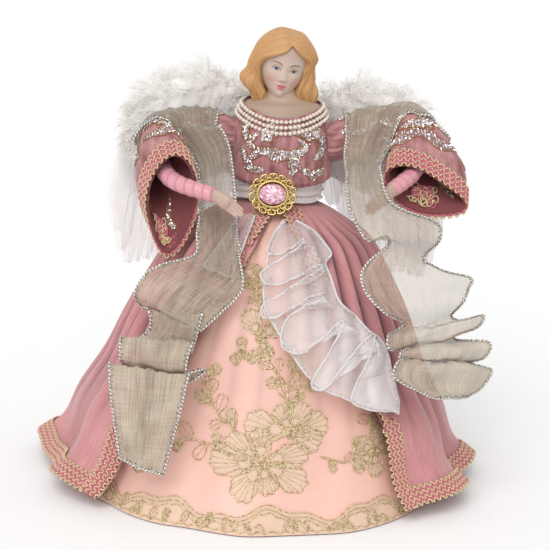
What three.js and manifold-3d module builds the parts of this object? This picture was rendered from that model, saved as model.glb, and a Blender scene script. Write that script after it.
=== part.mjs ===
// Angel tree topper: a bisque bust with wired arms and feather wings on a card cone, dressed in a
// lace underskirt, an open velvet overskirt, trumpet sleeves, wired-ribbon scarves and a jewelled sash.
// Millimetres, +Z up, the figure faces -Y and its left hand is on the +X side.
import * as THREE from 'three';
import Module from 'manifold-3d';

const wasm = await Module();
wasm.setup();

// Clearances
const FIT = 0.3;
const JOINT_GAP = 0.6;

// Overall stance
const LEAN = 6;
const WAIST_Z = 188;

// Card cone that drops over the tip of the tree
const CONE_BASE_R = 98;
const CONE_TOP_R = 20;
const CARD = 1.6;

// Cloth thicknesses
const SATIN = 1.0;
const VELVET = 1.2;
const RIBBON = 0.8;
const LACE = 0.9;
const BRAID = 1.4;

// Skirts: half widths at the hem across and along the view, heights of the hems above the floor
const OVER_HEM_RX = 145;
const OVER_HEM_RY = 131;
const HEM_STEP_X = 19;
const HEM_STEP_Y = 9;
const UNDER_HEM_RX = OVER_HEM_RX - HEM_STEP_X;
const UNDER_HEM_RY = OVER_HEM_RY - HEM_STEP_Y;
const OVER_HEM_Z = 12;
const OVER_FLUTES = 12;
const OVER_FLUTE_DEPTH = 0.04;
const UNDER_FOLDS = 10;
const UNDER_FOLD_DEPTH = 0.012;
const OPENING_TOP_DEG = 4;
const OPENING_HEM_DEG = 43;
const BRAID_W = 12;

// Bust
const SASH_H = 17;
const SASH_T = 3;
const WAIST_RX = 26;
const WAIST_RY = 20.5;
const CHEST_RX = 30.5;
const CHEST_RY = 25;
const BODICE_T = 2.2;
const CORE_TOP_Z = WAIST_Z + 48;
const NECKLINE_Z = WAIST_Z + 62;
const NECKLINE_SLOPE = 0.17;
const BLOUSE_Z = WAIST_Z + 15;
const BLOUSE_SLOPE = 0.14;
const PEARL_R = 1.5;
const PEARL_PITCH = 3.1;

// Head
const HAIR_OVER_NECKLINE = 1;
const HEAD_X = LEAN - 2.5;
const HAIR_RX = 24.3;
const HAIR_RY = 23;
const HAIR_RZ = 24.5;
const NECK_R = 8.5;

// Arms
const SHOULDER_OUT = 36;
const SHOULDER_Z = WAIST_Z + 39.5;
const ARM_RISE = 3.5;
const SHOULDER_R = 13;
const SLEEVE_T = 1.5;
const WIRE_R = 1;
const CUFF_LIE = 0.7;

// Wings, hung on a block behind the bodice
const WING_HINGE_OUT = 9;
const WING_CARD_T = 1.2;
const PRIMARY_T = 2.6;
const COVERT_T = 1.8;
const DOWN_DEPTH = 8;

// Brooch
const BROOCH_RX = 15;
const BROOCH_RZ = 13;
const BROOCH_T = 3.4;
const GEM_RX = 9.2;
const GEM_RZ = 6.6;
const BROOCH_TILT = 0.26;

const TAU = Math.PI * 2;
const V = (x, y, z) => new THREE.Vector3(x, y, z);
const mix = (a, b, t) => a + (b - a) * t;
const mixV = (p, q, t) => p.clone().lerp(q, t);
const rad = (deg) => (deg * Math.PI) / 180;

const part = new THREE.Group();
part.name = 'angel_tree_topper';

// Triangles with outward faces, from points and index triples
function body(points, faces) {
  const at = (k) => points[k];
  let volume = 0;
  for (const [a, b, c] of faces) {
    volume += at(a).dot(at(b).clone().cross(at(c)));
  }
  const index = [];
  for (const [a, b, c] of faces) {
    index.push(a, volume > 0 ? b : c, volume > 0 ? c : b);
  }
  const geometry = new THREE.BufferGeometry();
  geometry.setAttribute('position', new THREE.Float32BufferAttribute(points.flatMap((p) => [p.x, p.y, p.z]), 3));
  geometry.setIndex(index);
  return geometry;
}

// A solid lofted through closed rings; a loop joins the last ring to the first, else the ends are capped
function loft(rings, { loop = false, start = null, end = null } = {}) {
  const n = rings[0].length;
  const points = rings.flat();
  const faces = [];
  const last = loop ? rings.length : rings.length - 1;
  for (let j = 0; j < last; j += 1) {
    const next = (j + 1) % rings.length;
    for (let i = 0; i < n; i += 1) {
      const k = (i + 1) % n;
      faces.push([j * n + i, j * n + k, next * n + k]);
      faces.push([j * n + i, next * n + k, next * n + i]);
    }
  }
  if (!loop) {
    const centre = (ring) => ring.reduce((s, p) => s.add(p), V(0, 0, 0)).divideScalar(n);
    const first = points.push(start ?? centre(rings[0])) - 1;
    const final = points.push(end ?? centre(rings[rings.length - 1])) - 1;
    const base = (rings.length - 1) * n;
    for (let i = 0; i < n; i += 1) {
      const k = (i + 1) % n;
      faces.push([first, k, i]);
      faces.push([final, base + i, base + k]);
    }
  }
  return body(points, faces);
}

// A solid between two open grids of points with the same rows and columns
function slab(front, back) {
  const rows = front.length;
  const cols = front[0].length;
  const points = [...front.flat(), ...back.flat()];
  const f = (j, i) => j * cols + i;
  const b = (j, i) => rows * cols + j * cols + i;
  const faces = [];
  const quad = (p, q, r, s) => faces.push([p, q, r], [p, r, s]);
  for (let j = 0; j < rows - 1; j += 1) {
    for (let i = 0; i < cols - 1; i += 1) {
      quad(f(j, i), f(j, i + 1), f(j + 1, i + 1), f(j + 1, i));
      quad(b(j, i), b(j + 1, i), b(j + 1, i + 1), b(j, i + 1));
    }
    quad(f(j, 0), f(j + 1, 0), b(j + 1, 0), b(j, 0));
    quad(f(j, cols - 1), b(j, cols - 1), b(j + 1, cols - 1), f(j + 1, cols - 1));
  }
  for (let i = 0; i < cols - 1; i += 1) {
    quad(f(0, i), b(0, i), b(0, i + 1), f(0, i + 1));
    quad(f(rows - 1, i), f(rows - 1, i + 1), b(rows - 1, i + 1), b(rows - 1, i));
  }
  return body(points, faces);
}

// A thin sheet of even thickness about a grid of points
function sheet(grid, thickness) {
  const rows = grid.length;
  const cols = grid[0].length;
  const normal = (j, i) => {
    const du = grid[j][Math.min(i + 1, cols - 1)].clone().sub(grid[j][Math.max(i - 1, 0)]);
    const dv = grid[Math.min(j + 1, rows - 1)][i].clone().sub(grid[Math.max(j - 1, 0)][i]);
    return du.cross(dv).normalize().multiplyScalar(thickness / 2);
  };
  const front = grid.map((row, j) => row.map((p, i) => p.clone().add(normal(j, i))));
  const back = grid.map((row, j) => row.map((p, i) => p.clone().sub(normal(j, i))));
  return slab(front, back);
}

const ellipse = (n, place) => Array.from({ length: n }, (_, i) => place((i / n) * TAU));

// An ellipsoid
function ball(centre, rx, ry, rz, n = 20, m = 11) {
  const rings = [];
  for (let k = 1; k < m; k += 1) {
    const polar = (k / m) * Math.PI;
    rings.push(ellipse(n, (a) => V(
      centre.x + rx * Math.sin(polar) * Math.cos(a),
      centre.y + ry * Math.sin(polar) * Math.sin(a),
      centre.z + rz * Math.cos(polar),
    )));
  }
  return loft(rings, { start: V(centre.x, centre.y, centre.z + rz), end: V(centre.x, centre.y, centre.z - rz) });
}

// A rod or sleeve along a smooth path; radii are read along it and a bore leaves it hollow
function rod(path, radii, { n = 10, steps = 10, bore = 0 } = {}) {
  const curve = new THREE.CatmullRomCurve3(path);
  const frames = curve.computeFrenetFrames(steps, false);
  const ringAt = (k, r) => {
    const centre = curve.getPointAt(k / steps);
    return ellipse(n, (a) => centre.clone()
      .addScaledVector(frames.normals[k], r * Math.cos(a))
      .addScaledVector(frames.binormals[k], r * Math.sin(a)));
  };
  const radius = (k) => {
    const s = (k / steps) * (radii.length - 1);
    const j = Math.min(Math.floor(s), radii.length - 2);
    return mix(radii[j], radii[j + 1], s - j);
  };
  const outer = Array.from({ length: steps + 1 }, (_, k) => ringAt(k, radius(k)));
  if (!bore) {
    return loft(outer);
  }
  const inner = Array.from({ length: steps + 1 }, (_, k) => ringAt(k, bore));
  return loft([...outer, ...inner.reverse()], { loop: true });
}

// Joining and cutting
function solid(geometry) {
  const mesh = new wasm.Mesh({
    numProp: 3,
    vertProperties: new Float32Array(geometry.getAttribute('position').array),
    triVerts: new Uint32Array(geometry.getIndex().array),
  });
  return new wasm.Manifold(mesh);
}

function surface(manifold) {
  const mesh = manifold.getMesh();
  const geometry = new THREE.BufferGeometry();
  geometry.setAttribute('position', new THREE.Float32BufferAttribute(Array.from(mesh.vertProperties), 3));
  geometry.setIndex(Array.from(mesh.triVerts));
  return geometry;
}

function add(name, geometry, colour, roughness, metalness = 0) {
  const material = new THREE.MeshStandardMaterial({ color: colour, roughness, metalness, side: THREE.DoubleSide });
  const mesh = new THREE.Mesh(geometry, material);
  mesh.name = name;
  part.add(mesh);
}

const leanAt = (z) => LEAN * Math.min(Math.max(z / WAIST_Z, 0), 1);

// Card cone: closed at the top, open below for the tree
const CONE_N = 40;
const coneRing = (r, z) => ellipse(CONE_N, (a) => V(leanAt(z) + r * Math.sin(a), -r * Math.cos(a), z));
const coneSlope = (CONE_BASE_R - CONE_TOP_R) / WAIST_Z;
const coneR = (z) => CONE_BASE_R - coneSlope * z;
const CONE_TOP_Z = WAIST_Z + 1;
add('tree_cone', loft([
  coneRing(coneR(CONE_TOP_Z), CONE_TOP_Z),
  coneRing(coneR(WAIST_Z / 2), WAIST_Z / 2),
  coneRing(CONE_BASE_R, 0),
  coneRing(CONE_BASE_R - CARD, 0),
  coneRing(coneR(WAIST_Z / 2) - CARD, WAIST_Z / 2),
  coneRing(coneR(CONE_TOP_Z - CARD) - CARD, CONE_TOP_Z - CARD),
]), 0xd9cfc0, 0.9);

// Skirt profiles: share of the drop from waist to hem, share of the flare
const OVER_PROFILE = [
  [0, 0], [0.023, 0.092], [0.074, 0.21], [0.142, 0.336], [0.33, 0.496],
  [0.46, 0.588], [0.614, 0.68], [0.773, 0.805], [0.915, 0.88], [1, 1],
];
const UNDER_PROFILE = [
  [0, 0], [0.021, 0.06], [0.069, 0.19], [0.133, 0.32], [0.31, 0.482],
  [0.43, 0.578], [0.574, 0.672], [0.723, 0.785], [0.87, 0.885], [1, 1],
];

// Underskirt: a full ring of satin over the cone with shallow folds
const UNDER_N = 40;
const UNDER_TOP_R = coneR(WAIST_Z) + FIT + SATIN / 2;
function underPoint([drop, flare], angle, off) {
  const z = WAIST_Z * (1 - drop);
  const fold = 1 + UNDER_FOLD_DEPTH * drop * Math.cos(UNDER_FOLDS * angle);
  const rx = mix(UNDER_TOP_R, UNDER_HEM_RX, flare) * fold + off;
  const ry = mix(UNDER_TOP_R, UNDER_HEM_RY, flare) * fold + off;
  return V(leanAt(z) + rx * Math.sin(angle), -ry * Math.cos(angle), z);
}
const underRing = (row, off) => ellipse(UNDER_N, (a) => underPoint(row, a, off));
add('underskirt', loft([
  ...UNDER_PROFILE.map((row) => underRing(row, SATIN / 2)),
  ...UNDER_PROFILE.map((row) => underRing(row, -SATIN / 2)).reverse(),
], { loop: true }), 0xe8c0a8, 0.55);

// Lace edging laid over the foot of the underskirt
const laceRows = UNDER_PROFILE.slice(-2);
const laceTop = [mix(laceRows[0][0], laceRows[1][0], 0.06), mix(laceRows[0][1], laceRows[1][1], 0.06)];
const laceFoot = [mix(laceRows[0][0], laceRows[1][0], 0.97), mix(laceRows[0][1], laceRows[1][1], 0.97)];
const laceIn = SATIN / 2 + FIT;
add('lace_hem', loft([
  underRing(laceTop, laceIn + LACE),
  underRing(laceFoot, laceIn + LACE),
  underRing(laceFoot, laceIn),
  underRing(laceTop, laceIn),
], { loop: true }), 0xdcc39a, 0.6);

// Overskirt: gathered at the waist, open down the front, fluted at the hem
const OVER_COLS = 44;
const OVER_TOP_R = UNDER_TOP_R + SATIN / 2 + FIT + VELVET / 2;
function openingAt(drop) {
  const s = Math.min(drop / 0.75, 1);
  return rad(mix(OPENING_TOP_DEG, OPENING_HEM_DEG, s * (1.25 - 0.25 * s)));
}
function overAngle(drop, col) {
  const open = openingAt(drop);
  const flareR = mix(OVER_TOP_R, OVER_HEM_RY, 0.12 + 0.88 * drop);
  const band = Math.min(BRAID_W / flareR, 0.3);
  const inner = open + band;
  if (col === 0) {
    return open;
  }
  if (col === OVER_COLS) {
    return TAU - open;
  }
  return mix(inner, TAU - inner, (col - 1) / (OVER_COLS - 2));
}
function overPoint([drop, flare], col, off) {
  const z = mix(WAIST_Z, OVER_HEM_Z, drop);
  const angle = overAngle(drop, col);
  const fold = 1 + OVER_FLUTE_DEPTH * drop * drop * Math.cos(OVER_FLUTES * angle);
  const rx = mix(OVER_TOP_R, OVER_HEM_RX, flare) * fold + off;
  const ry = mix(OVER_TOP_R, OVER_HEM_RY, flare) * fold + off;
  return V(leanAt(z) + rx * Math.sin(angle), -ry * Math.cos(angle), z);
}
function overGrid(rows, cols, off) {
  return rows.map((row) => cols.map((c) => overPoint(row, c, off)));
}
const overCols = Array.from({ length: OVER_COLS + 1 }, (_, c) => c);
add('overskirt', slab(
  overGrid(OVER_PROFILE, overCols, VELVET / 2),
  overGrid(OVER_PROFILE, overCols, -VELVET / 2),
), 0xc79696, 0.8);

// Gimp braid along the overskirt's hem and both front edges
const braidIn = VELVET / 2 + FIT;
const hemRows = OVER_PROFILE.slice(-2);
add('hem_braid', slab(
  overGrid(hemRows, overCols, braidIn + BRAID),
  overGrid(hemRows, overCols, braidIn),
), 0xb98a62, 0.6);
function frontBraid(cols) {
  const rows = OVER_PROFILE.slice(2, -1);
  const between = (off) => {
    const grid = overGrid(rows, cols, off);
    const end = grid.length - 1;
    grid[end] = grid[end].map((p, i) => mixV(p, grid[end - 1][i], 0.03));
    return grid;
  };
  return slab(between(braidIn + BRAID), between(braidIn));
}
add('front_braid_left', frontBraid([0, 1]), 0xb98a62, 0.6);
add('front_braid_right', frontBraid([OVER_COLS - 1, OVER_COLS]), 0xb98a62, 0.6);

// Front of the overskirt's swept volume at a point across and up, for what lies on it
function skirtFront(x, z) {
  const drop = Math.min(Math.max((WAIST_Z - z) / (WAIST_Z - OVER_HEM_Z), 0), 1);
  const k = Math.max(OVER_PROFILE.findIndex(([d]) => d >= drop), 1);
  const [lo, hi] = [OVER_PROFILE[k - 1], OVER_PROFILE[k]];
  const flare = mix(lo[1], hi[1], (drop - lo[0]) / (hi[0] - lo[0]));
  const swell = 1 + OVER_FLUTE_DEPTH * drop * drop;
  const cover = VELVET / 2 + FIT + BRAID + FIT;
  const rx = mix(OVER_TOP_R, OVER_HEM_RX, flare) * swell + cover;
  const ry = mix(OVER_TOP_R, OVER_HEM_RY, flare) * swell + cover;
  const across = Math.min(Math.abs(x - leanAt(z)) / rx, 1);
  return -ry * Math.sqrt(1 - across * across);
}

// Bust core, a padded form on the cone with a narrower waist for the sash
const CHEST = [
  [WAIST_Z + 18.5, CHEST_RX - 1, CHEST_RY - 1.5],
  [WAIST_Z + 27, CHEST_RX, CHEST_RY],
  [WAIST_Z + 37, CHEST_RX, CHEST_RY],
  [WAIST_Z + 45, CHEST_RX - 1, CHEST_RY - 1.5],
  [WAIST_Z + 52, CHEST_RX - 3, CHEST_RY - 5],
  [WAIST_Z + 59, CHEST_RX - 5.5, CHEST_RY - 9],
  [WAIST_Z + 65, CHEST_RX - 8.5, CHEST_RY - 12],
];
const BUST_N = 24;
const bustRing = (rx, ry, z) => ellipse(BUST_N, (a) => V(LEAN + rx * Math.sin(a), -ry * Math.cos(a), z));
function chestAt(z) {
  const k = Math.min(Math.max(CHEST.findIndex(([h]) => h >= z), 1), CHEST.length - 1);
  const [lo, hi] = [CHEST[k - 1], CHEST[k]];
  const t = (z - lo[0]) / (hi[0] - lo[0]);
  return [mix(lo[1], hi[1], t), mix(lo[2], hi[2], t)];
}
const pivot = (side) => V(LEAN + side * SHOULDER_OUT, 0, SHOULDER_Z);
const shoulderBall = (side, r) => {
  const p = pivot(side);
  return solid(ball(p, r, r, r, 16, 10));
};
const SASH_Z = CONE_TOP_Z + FIT;
const sashTop = SASH_Z + SASH_H;
const coreRings = [
  bustRing(WAIST_RX, WAIST_RY, CONE_TOP_Z + FIT),
  bustRing(WAIST_RX, WAIST_RY, sashTop + FIT),
  bustRing(...CHEST[0].slice(1), Math.max(sashTop + FIT + 0.1, CHEST[0][0])),
  ...CHEST.filter(([z]) => z > CHEST[0][0] && z < CORE_TOP_Z).map(([z, rx, ry]) => bustRing(rx, ry, z)),
  bustRing(...chestAt(CORE_TOP_Z), CORE_TOP_Z),
];
const wireBore = solid(rod([pivot(-1), V(LEAN, 0, SHOULDER_Z), pivot(1)], [WIRE_R + FIT, WIRE_R + FIT], { n: 8, steps: 2 }));
const socket = shoulderBall(-1, SHOULDER_R + JOINT_GAP).add(shoulderBall(1, SHOULDER_R + JOINT_GAP));
add('torso_core', surface(solid(loft(coreRings)).subtract(socket).subtract(wireBore)), 0xe4ddd0, 0.95);

// One wire runs through the bust and ends at the two shoulders
const wireEnd = (side) => pivot(side).add(V(-side * FIT, 0, 0));
add('shoulder_wire', rod([wireEnd(-1), V(LEAN, 0, SHOULDER_Z), wireEnd(1)], [WIRE_R, WIRE_R], { n: 8, steps: 2 }),
  0x8d8d8a, 0.4, 0.9);

// Waist sash
const sashRx = WAIST_RX + FIT + SASH_T;
const sashRy = WAIST_RY + FIT + SASH_T;
add('waist_sash', loft([
  bustRing(sashRx - 0.8, sashRy - 0.8, SASH_Z),
  bustRing(sashRx, sashRy, SASH_Z + SASH_H * 0.3),
  bustRing(sashRx, sashRy, SASH_Z + SASH_H * 0.7),
  bustRing(sashRx - 0.8, sashRy - 0.8, sashTop),
  bustRing(WAIST_RX + FIT, WAIST_RY + FIT, sashTop),
  bustRing(WAIST_RX + FIT, WAIST_RY + FIT, SASH_Z),
], { loop: true }), 0xb9a09e, 0.5);

// Bodice: velvet over the chest, bloused over the sash in front and cut low at the neck
const bodiceIn = solid(loft([
  bustRing(sashRx + FIT, sashRy + FIT, BLOUSE_Z - 14),
  bustRing(sashRx + FIT, sashRy + FIT, sashTop + FIT),
  ...CHEST.map(([z, rx, ry]) => bustRing(rx + FIT, ry + FIT, z)),
  bustRing(CHEST[6][1] + FIT, CHEST[6][2] + FIT, CHEST[6][0] + 8),
]));
const bodiceOut = solid(loft([
  bustRing(sashRx + FIT + BODICE_T, sashRy + FIT + BODICE_T, BLOUSE_Z - 13),
  bustRing(sashRx + FIT + BODICE_T + 0.8, sashRy + FIT + BODICE_T + 0.8, sashTop),
  ...CHEST.map(([z, rx, ry]) => bustRing(rx + FIT + BODICE_T, ry + FIT + BODICE_T, z)),
]));
function tilted(z, slope, above) {
  const size = 240;
  const corners = [[-1, -1], [1, -1], [1, 1], [-1, 1]];
  const ring = (lift) => corners.map(([sx, sy]) => V(sx * size, sy * size, z + slope * sy * size + lift));
  return solid(loft([ring(0), ring(above * size)]));
}
const bodice = bodiceOut.subtract(bodiceIn)
  .subtract(tilted(NECKLINE_Z, NECKLINE_SLOPE, 1))
  .subtract(tilted(BLOUSE_Z, BLOUSE_SLOPE, -1))
  .subtract(socket);
add('bodice', surface(bodice), 0xb98f90, 0.85);

// Pearl collar: three strands along the neckline
function pearlStrand(row) {
  const n = 32;
  const drop = 1.6 + row * PEARL_PITCH;
  const path = ellipse(n, (a) => {
    let z = NECKLINE_Z - drop;
    let p = V(0, 0, z);
    for (let k = 0; k < 8; k += 1) {
      const [rx, ry] = chestAt(z);
      const out = 2 * FIT + BODICE_T + PEARL_R + 0.25;
      p = V(LEAN + (rx + out) * Math.sin(a), -(ry + out) * Math.cos(a), z);
      z = NECKLINE_Z + NECKLINE_SLOPE * p.y - drop;
    }
    return p;
  });
  const rings = path.map((p, i) => {
    const ahead = path[(i + 1) % n].clone().sub(path[(i + n - 1) % n]).normalize();
    const out = V(p.x - LEAN, p.y, 0).normalize();
    const up = ahead.clone().cross(out).normalize();
    const side = up.clone().cross(ahead).normalize();
    return ellipse(5, (a) => p.clone()
      .addScaledVector(side, PEARL_R * Math.cos(a))
      .addScaledVector(up, PEARL_R * Math.sin(a)));
  });
  return loft(rings, { loop: true });
}
for (let row = 0; row < 3; row += 1) {
  add(`pearl_row_${row + 1}`, pearlStrand(row), 0xe9e2dc, 0.25);
}

// Bisque head, moulded hair, neck and shoulder plate in one casting
const plateFoot = CORE_TOP_Z + FIT;
const hairZ = NECKLINE_Z + HAIR_OVER_NECKLINE + HAIR_RZ;
const plateRings = [bustRing(...chestAt(plateFoot), plateFoot)];
for (const [z, rx, ry] of CHEST.filter(([h]) => h > plateFoot && h < WAIST_Z + 60)) {
  plateRings.push(bustRing(rx, ry, z));
}
plateRings.push(bustRing(NECK_R + 5, NECK_R + 2, WAIST_Z + 62.5));
plateRings.push(bustRing(NECK_R, NECK_R, WAIST_Z + 66));
plateRings.push(bustRing(NECK_R - 0.5, NECK_R - 0.5, hairZ - 6));
const hair = solid(ball(V(HEAD_X, 1, hairZ), HAIR_RX, HAIR_RY, HAIR_RZ, 20, 11));
const faceHollow = solid(ball(V(HEAD_X + 2, -25, hairZ - 6), 15.5, 16, 20, 16, 9));
const face = solid(ball(V(HEAD_X + 2, -10.5, hairZ - 3), 14.5, 13, 15.5, 16, 10));
const flipRight = solid(ball(V(HEAD_X - 17.5, -2, hairZ - 16.5), 8, 9, 9, 12, 8));
const flipLeft = solid(ball(V(HEAD_X + 17, -2, hairZ - 15.5), 8, 9, 8, 12, 8));
const head = hair.subtract(faceHollow).add(face).add(flipRight).add(flipLeft).add(solid(loft(plateRings)).subtract(socket));
add('bisque_head', surface(head), 0xd9b08c, 0.5);

// Arms: every point is out from the shoulder, along Y and up
const ARMS = {
  right: {
    side: -1,
    sleeve: [
      [V(14, 0, -1), V(0, 14, 0), V(0, 0, 14)],
      [V(29, -3, -4), V(3, 14.5, 0), V(0, 0, 17)],
      [V(43, -9, -13), V(11, 11, 0), V(0, 1, 21)],
      [V(41, -25, -25), V(16.5, 4, 0), V(0, 4, 27)],
      [V(35, -42, -40), V(19, 0, 0), V(-1, -2, 33)],
    ],
    arm: [V(1.6, 0, 0), V(14, 0, -1), V(30, -3, -5), V(41, -14, -13), V(37, -32, -20), V(27, -47, -26), V(4, -60, -32)],
    hand: [V(-2, -62, -34.5), V(-14, -66, -42.5)],
    thumb: V(-4, -59, -40),
    scarfBack: [[V(8, 18, -26), V(38, 17, -30)], [V(6, 18, -10), V(42, 17, -16)]],
    scarfFront: [
      [V(1, -19, 2), V(20, -20, 0)],
      [V(-4, -26, -9), V(17, -24, -10)],
      [V(-8, -34, -30), V(14, -34, -30)],
      [V(-10, -44, -46), V(13, -43, -46)],
      [V(-12, -56, -60), V(14, -54, -58)],
      [V(-17, -70, -76), V(34, -62, -78)],
      [V(-17, -79, -84), V(54, -69, -95)],
      [V(4, -72, -96), V(38, -64, -108)],
      [V(10, -98, -124), V(59, -85, -122)],
      [V(18, -91, -131), V(48, -82, -130)],
      [V(12, -103, -137), V(62, -97, -134)],
      [V(18, -110, -165), V(58, -104, -160)],
      [V(25, -118, -196), V(53, -112, -187)],
    ],
  },
  left: {
    side: 1,
    sleeve: [
      [V(14, 0, 2), V(0, 14, 0), V(0, 0, 14)],
      [V(30, -2, 6), V(2, 14, 0), V(0, 0, 15)],
      [V(48, -8, 5), V(9, 11, 0), V(0, 1, 16)],
      [V(57, -23, -8), V(20, 3, -6), V(2, 4, 15)],
      [V(59, -40, -26), V(27, 2.5, -10.5), V(5, 0, 12.5)],
    ],
    arm: [V(1.6, 0, 0), V(14, 0, 2), V(31, -2, 6), V(47, -9, 5), V(54, -22, -5), V(49, -34, -16), V(35, -53, -24.5)],
    hand: [V(30, -55, -29), V(20, -53, -39)],
    thumb: V(25, -50, -37),
    scarfBack: [[V(8, 18, -22), V(44, 16, -18)], [V(6, 18, -6), V(46, 16, -2)]],
    scarfFront: [
      [V(6, -19, 4), V(29, -21, 6)],
      [V(5, -28, -8), V(26, -34, -4)],
      [V(6, -46, -18), V(26, -62, -12)],
      [V(8, -58, -34), V(31, -66, -30)],
      [V(16, -60, -50), V(42, -62, -48)],
      [V(25, -58, -57), V(68, -50, -54)],
      [V(18, -64, -83), V(92, -38, -88)],
      [V(34, -60, -96), V(84, -34, -99)],
      [V(30, -74, -104), V(100, -44, -107)],
      [V(48, -68, -111), V(93, -42, -114)],
      [V(40, -84, -119), V(101, -54, -121)],
      [V(52, -77, -127), V(95, -50, -129)],
      [V(44, -92, -142), V(104, -58, -140)],
      [V(60, -91, -153), V(96, -67, -154)],
    ],
  },
};
const SLEEVE_N = 18;
const SCARF_COLS = 5;
for (const [name, arm] of Object.entries(ARMS)) {
  const { side } = arm;
  const root = pivot(side);
  const about = (p) => V(root.x + side * p.x, root.y + p.y, root.z + p.z);
  const place = (p) => about(p).add(V(0, 0, ARM_RISE));

  // Sleeve: a ball at the shoulder, swelling past the elbow into a hanging trumpet mouth
  const section = (s) => {
    const k = Math.min(Math.floor(s), arm.sleeve.length - 2);
    return arm.sleeve[k].map((v, i) => mixV(v, arm.sleeve[k + 1][i], s - k));
  };
  const sleeveRing = (s, off) => {
    const [c, a, b] = section(s);
    const wide = a.clone().setLength(a.length() + off);
    const tall = b.clone().setLength(b.length() + off);
    return ellipse(SLEEVE_N, (t) => place(c.clone().addScaledVector(wide, Math.cos(t)).addScaledVector(tall, Math.sin(t))));
  };
  const ballRing = (polar, off) => {
    const r = SHOULDER_R + off;
    return ellipse(SLEEVE_N, (t) => about(V(
      -r * Math.cos(polar),
      r * Math.sin(polar) * Math.cos(t),
      r * Math.sin(polar) * Math.sin(t),
    )));
  };
  const polars = [rad(32), rad(60), rad(88)];
  const along = [0, 1, 1.5, 2, 2.5, 3, 3.5, 4];
  const shell = (off) => [...polars.map((p) => ballRing(p, off)), ...along.map((s) => sleeveRing(s, off))];
  add(`sleeve_${name}`, loft([...shell(0), ...shell(-SLEEVE_T).reverse()], { loop: true }), 0xa8787a, 0.85);
  const cuff = (off) => [sleeveRing(3.5, off), sleeveRing(4, off)];
  add(`cuff_braid_${name}`, loft([...cuff(CUFF_LIE + BRAID), ...cuff(CUFF_LIE).reverse()], { loop: true }), 0xb98a62, 0.6);

  // Padded arm wound with satin ribbon, on a bendable wire
  const reach = SHOULDER_R + 1 - SLEEVE_T - FIT;
  const armRadii = [6.5, reach - 2.2, 7.6, 6.4, 6.2, 6, 4.8];
  const armPath = arm.arm.map((p, k) => (k ? place(p) : about(p)));
  add(`arm_wrap_${name}`, rod(armPath, armRadii, { n: 10, steps: 12, bore: WIRE_R + FIT }), 0xd4a1ab, 0.35);
  add(`arm_wire_${name}`, rod(armPath, [WIRE_R, WIRE_R], { n: 6, steps: 12 }), 0x8d8d8a, 0.4, 0.9);

  // Hand
  const wrist = armPath[armPath.length - 1];
  const before = new THREE.CatmullRomCurve3(armPath).getTangentAt(1);
  const heel = wrist.clone().addScaledVector(before, FIT + 0.1);
  const palm = place(arm.hand[0]);
  const tips = place(arm.hand[1]);
  const line = [heel, heel.clone().addScaledVector(before, 1.6), palm, mixV(palm, tips, 0.55), tips];
  const flat = [[4.5, 4.5], [4.4, 4.2], [5.6, 3.1], [4.9, 2.4], [2.6, 1.5]];
  const handRings = line.map((c, k) => {
    const ahead = (k < 2 ? before.clone() : tips.clone().sub(palm)).normalize();
    const across = ahead.clone().cross(V(0, 1, 0)).normalize();
    const thick = across.clone().cross(ahead).normalize();
    return ellipse(10, (t) => c.clone()
      .addScaledVector(across, flat[k][0] * Math.cos(t))
      .addScaledVector(thick, flat[k][1] * Math.sin(t)));
  });
  const thumb = solid(rod([palm, mixV(palm, place(arm.thumb), 0.6), place(arm.thumb)], [2.2, 1.9, 1.4], { n: 8, steps: 3 }));
  add(`hand_${name}`, surface(solid(loft(handRings)).add(thumb)), 0xd8bdae, 0.45);

  // Scarf of wired ribbon: hangs behind the arm, crosses over the sleeve and falls in pleats on the skirt
  const lie = FIT + RIBBON / 2 + 0.7;
  const row = (inner, outer, fit) => Array.from({ length: SCARF_COLS + 1 }, (_, i) => {
    const p = place(mixV(inner, outer, i / SCARF_COLS));
    if (fit) {
      p.y = Math.min(p.y, skirtFront(p.x, p.z) - 1.6);
    }
    return p;
  });
  const over = (deg) => Array.from({ length: SCARF_COLS + 1 }, (_, i) => {
    const s = (i / SCARF_COLS) * 2;
    const [c, a, b] = section(Math.max(s - 0.35, 0) * (2 / 1.65));
    const first = Math.max(0.35 - s, 0) / 0.35;
    const shift = V(-9 * first, 0, 0);
    const t = rad(deg);
    return place(c.clone().add(shift)
      .addScaledVector(a.clone().setLength(a.length() + lie), Math.cos(t))
      .addScaledVector(b.clone().setLength(b.length() + lie), Math.sin(t)));
  });
  const grid = [
    ...arm.scarfBack.map(([i, o]) => row(i, o, false)),
    ...[18, 45, 70, 90, 110, 132, 154].map(over),
    ...arm.scarfFront.map(([i, o], k) => row(i, o, k > 3)),
  ];
  add(`scarf_${name}`, sheet(grid, RIBBON), 0xcbb9a6, 0.6);
}

// Organza ruffle: falls from under the brooch in accordion loops across the opening
const RUFFLE_LOOPS = 6;
const RUFFLE_ROWS = RUFFLE_LOOPS * 4 + 1;
const RUFFLE_COLS = 5;
const ruffle = Array.from({ length: RUFFLE_ROWS }, (_, j) => {
  const v = j / (RUFFLE_ROWS - 1);
  const centre = mix(10, 60, Math.pow(v, 1.05));
  const half = mix(8, 29, Math.min(v * 2.6, 1));
  const z = WAIST_Z - 5 - 101 * v;
  const swing = 0.5 - 0.5 * Math.cos(v * RUFFLE_LOOPS * TAU);
  return Array.from({ length: RUFFLE_COLS + 1 }, (_, i) => {
    const u = (i / RUFFLE_COLS) * 2 - 1;
    const x = centre + half * u;
    const drop = z - 7 * swing * Math.min(v * 3, 1) + 4 * u * Math.min(v * 3, 1);
    return V(x, skirtFront(x, drop) - 1.2 - 9 * swing * Math.min(v * 4 + 0.1, 1), drop);
  });
});
add('organza_ruffle', sheet(ruffle, RIBBON), 0xe6dcd8, 0.5);

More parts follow.
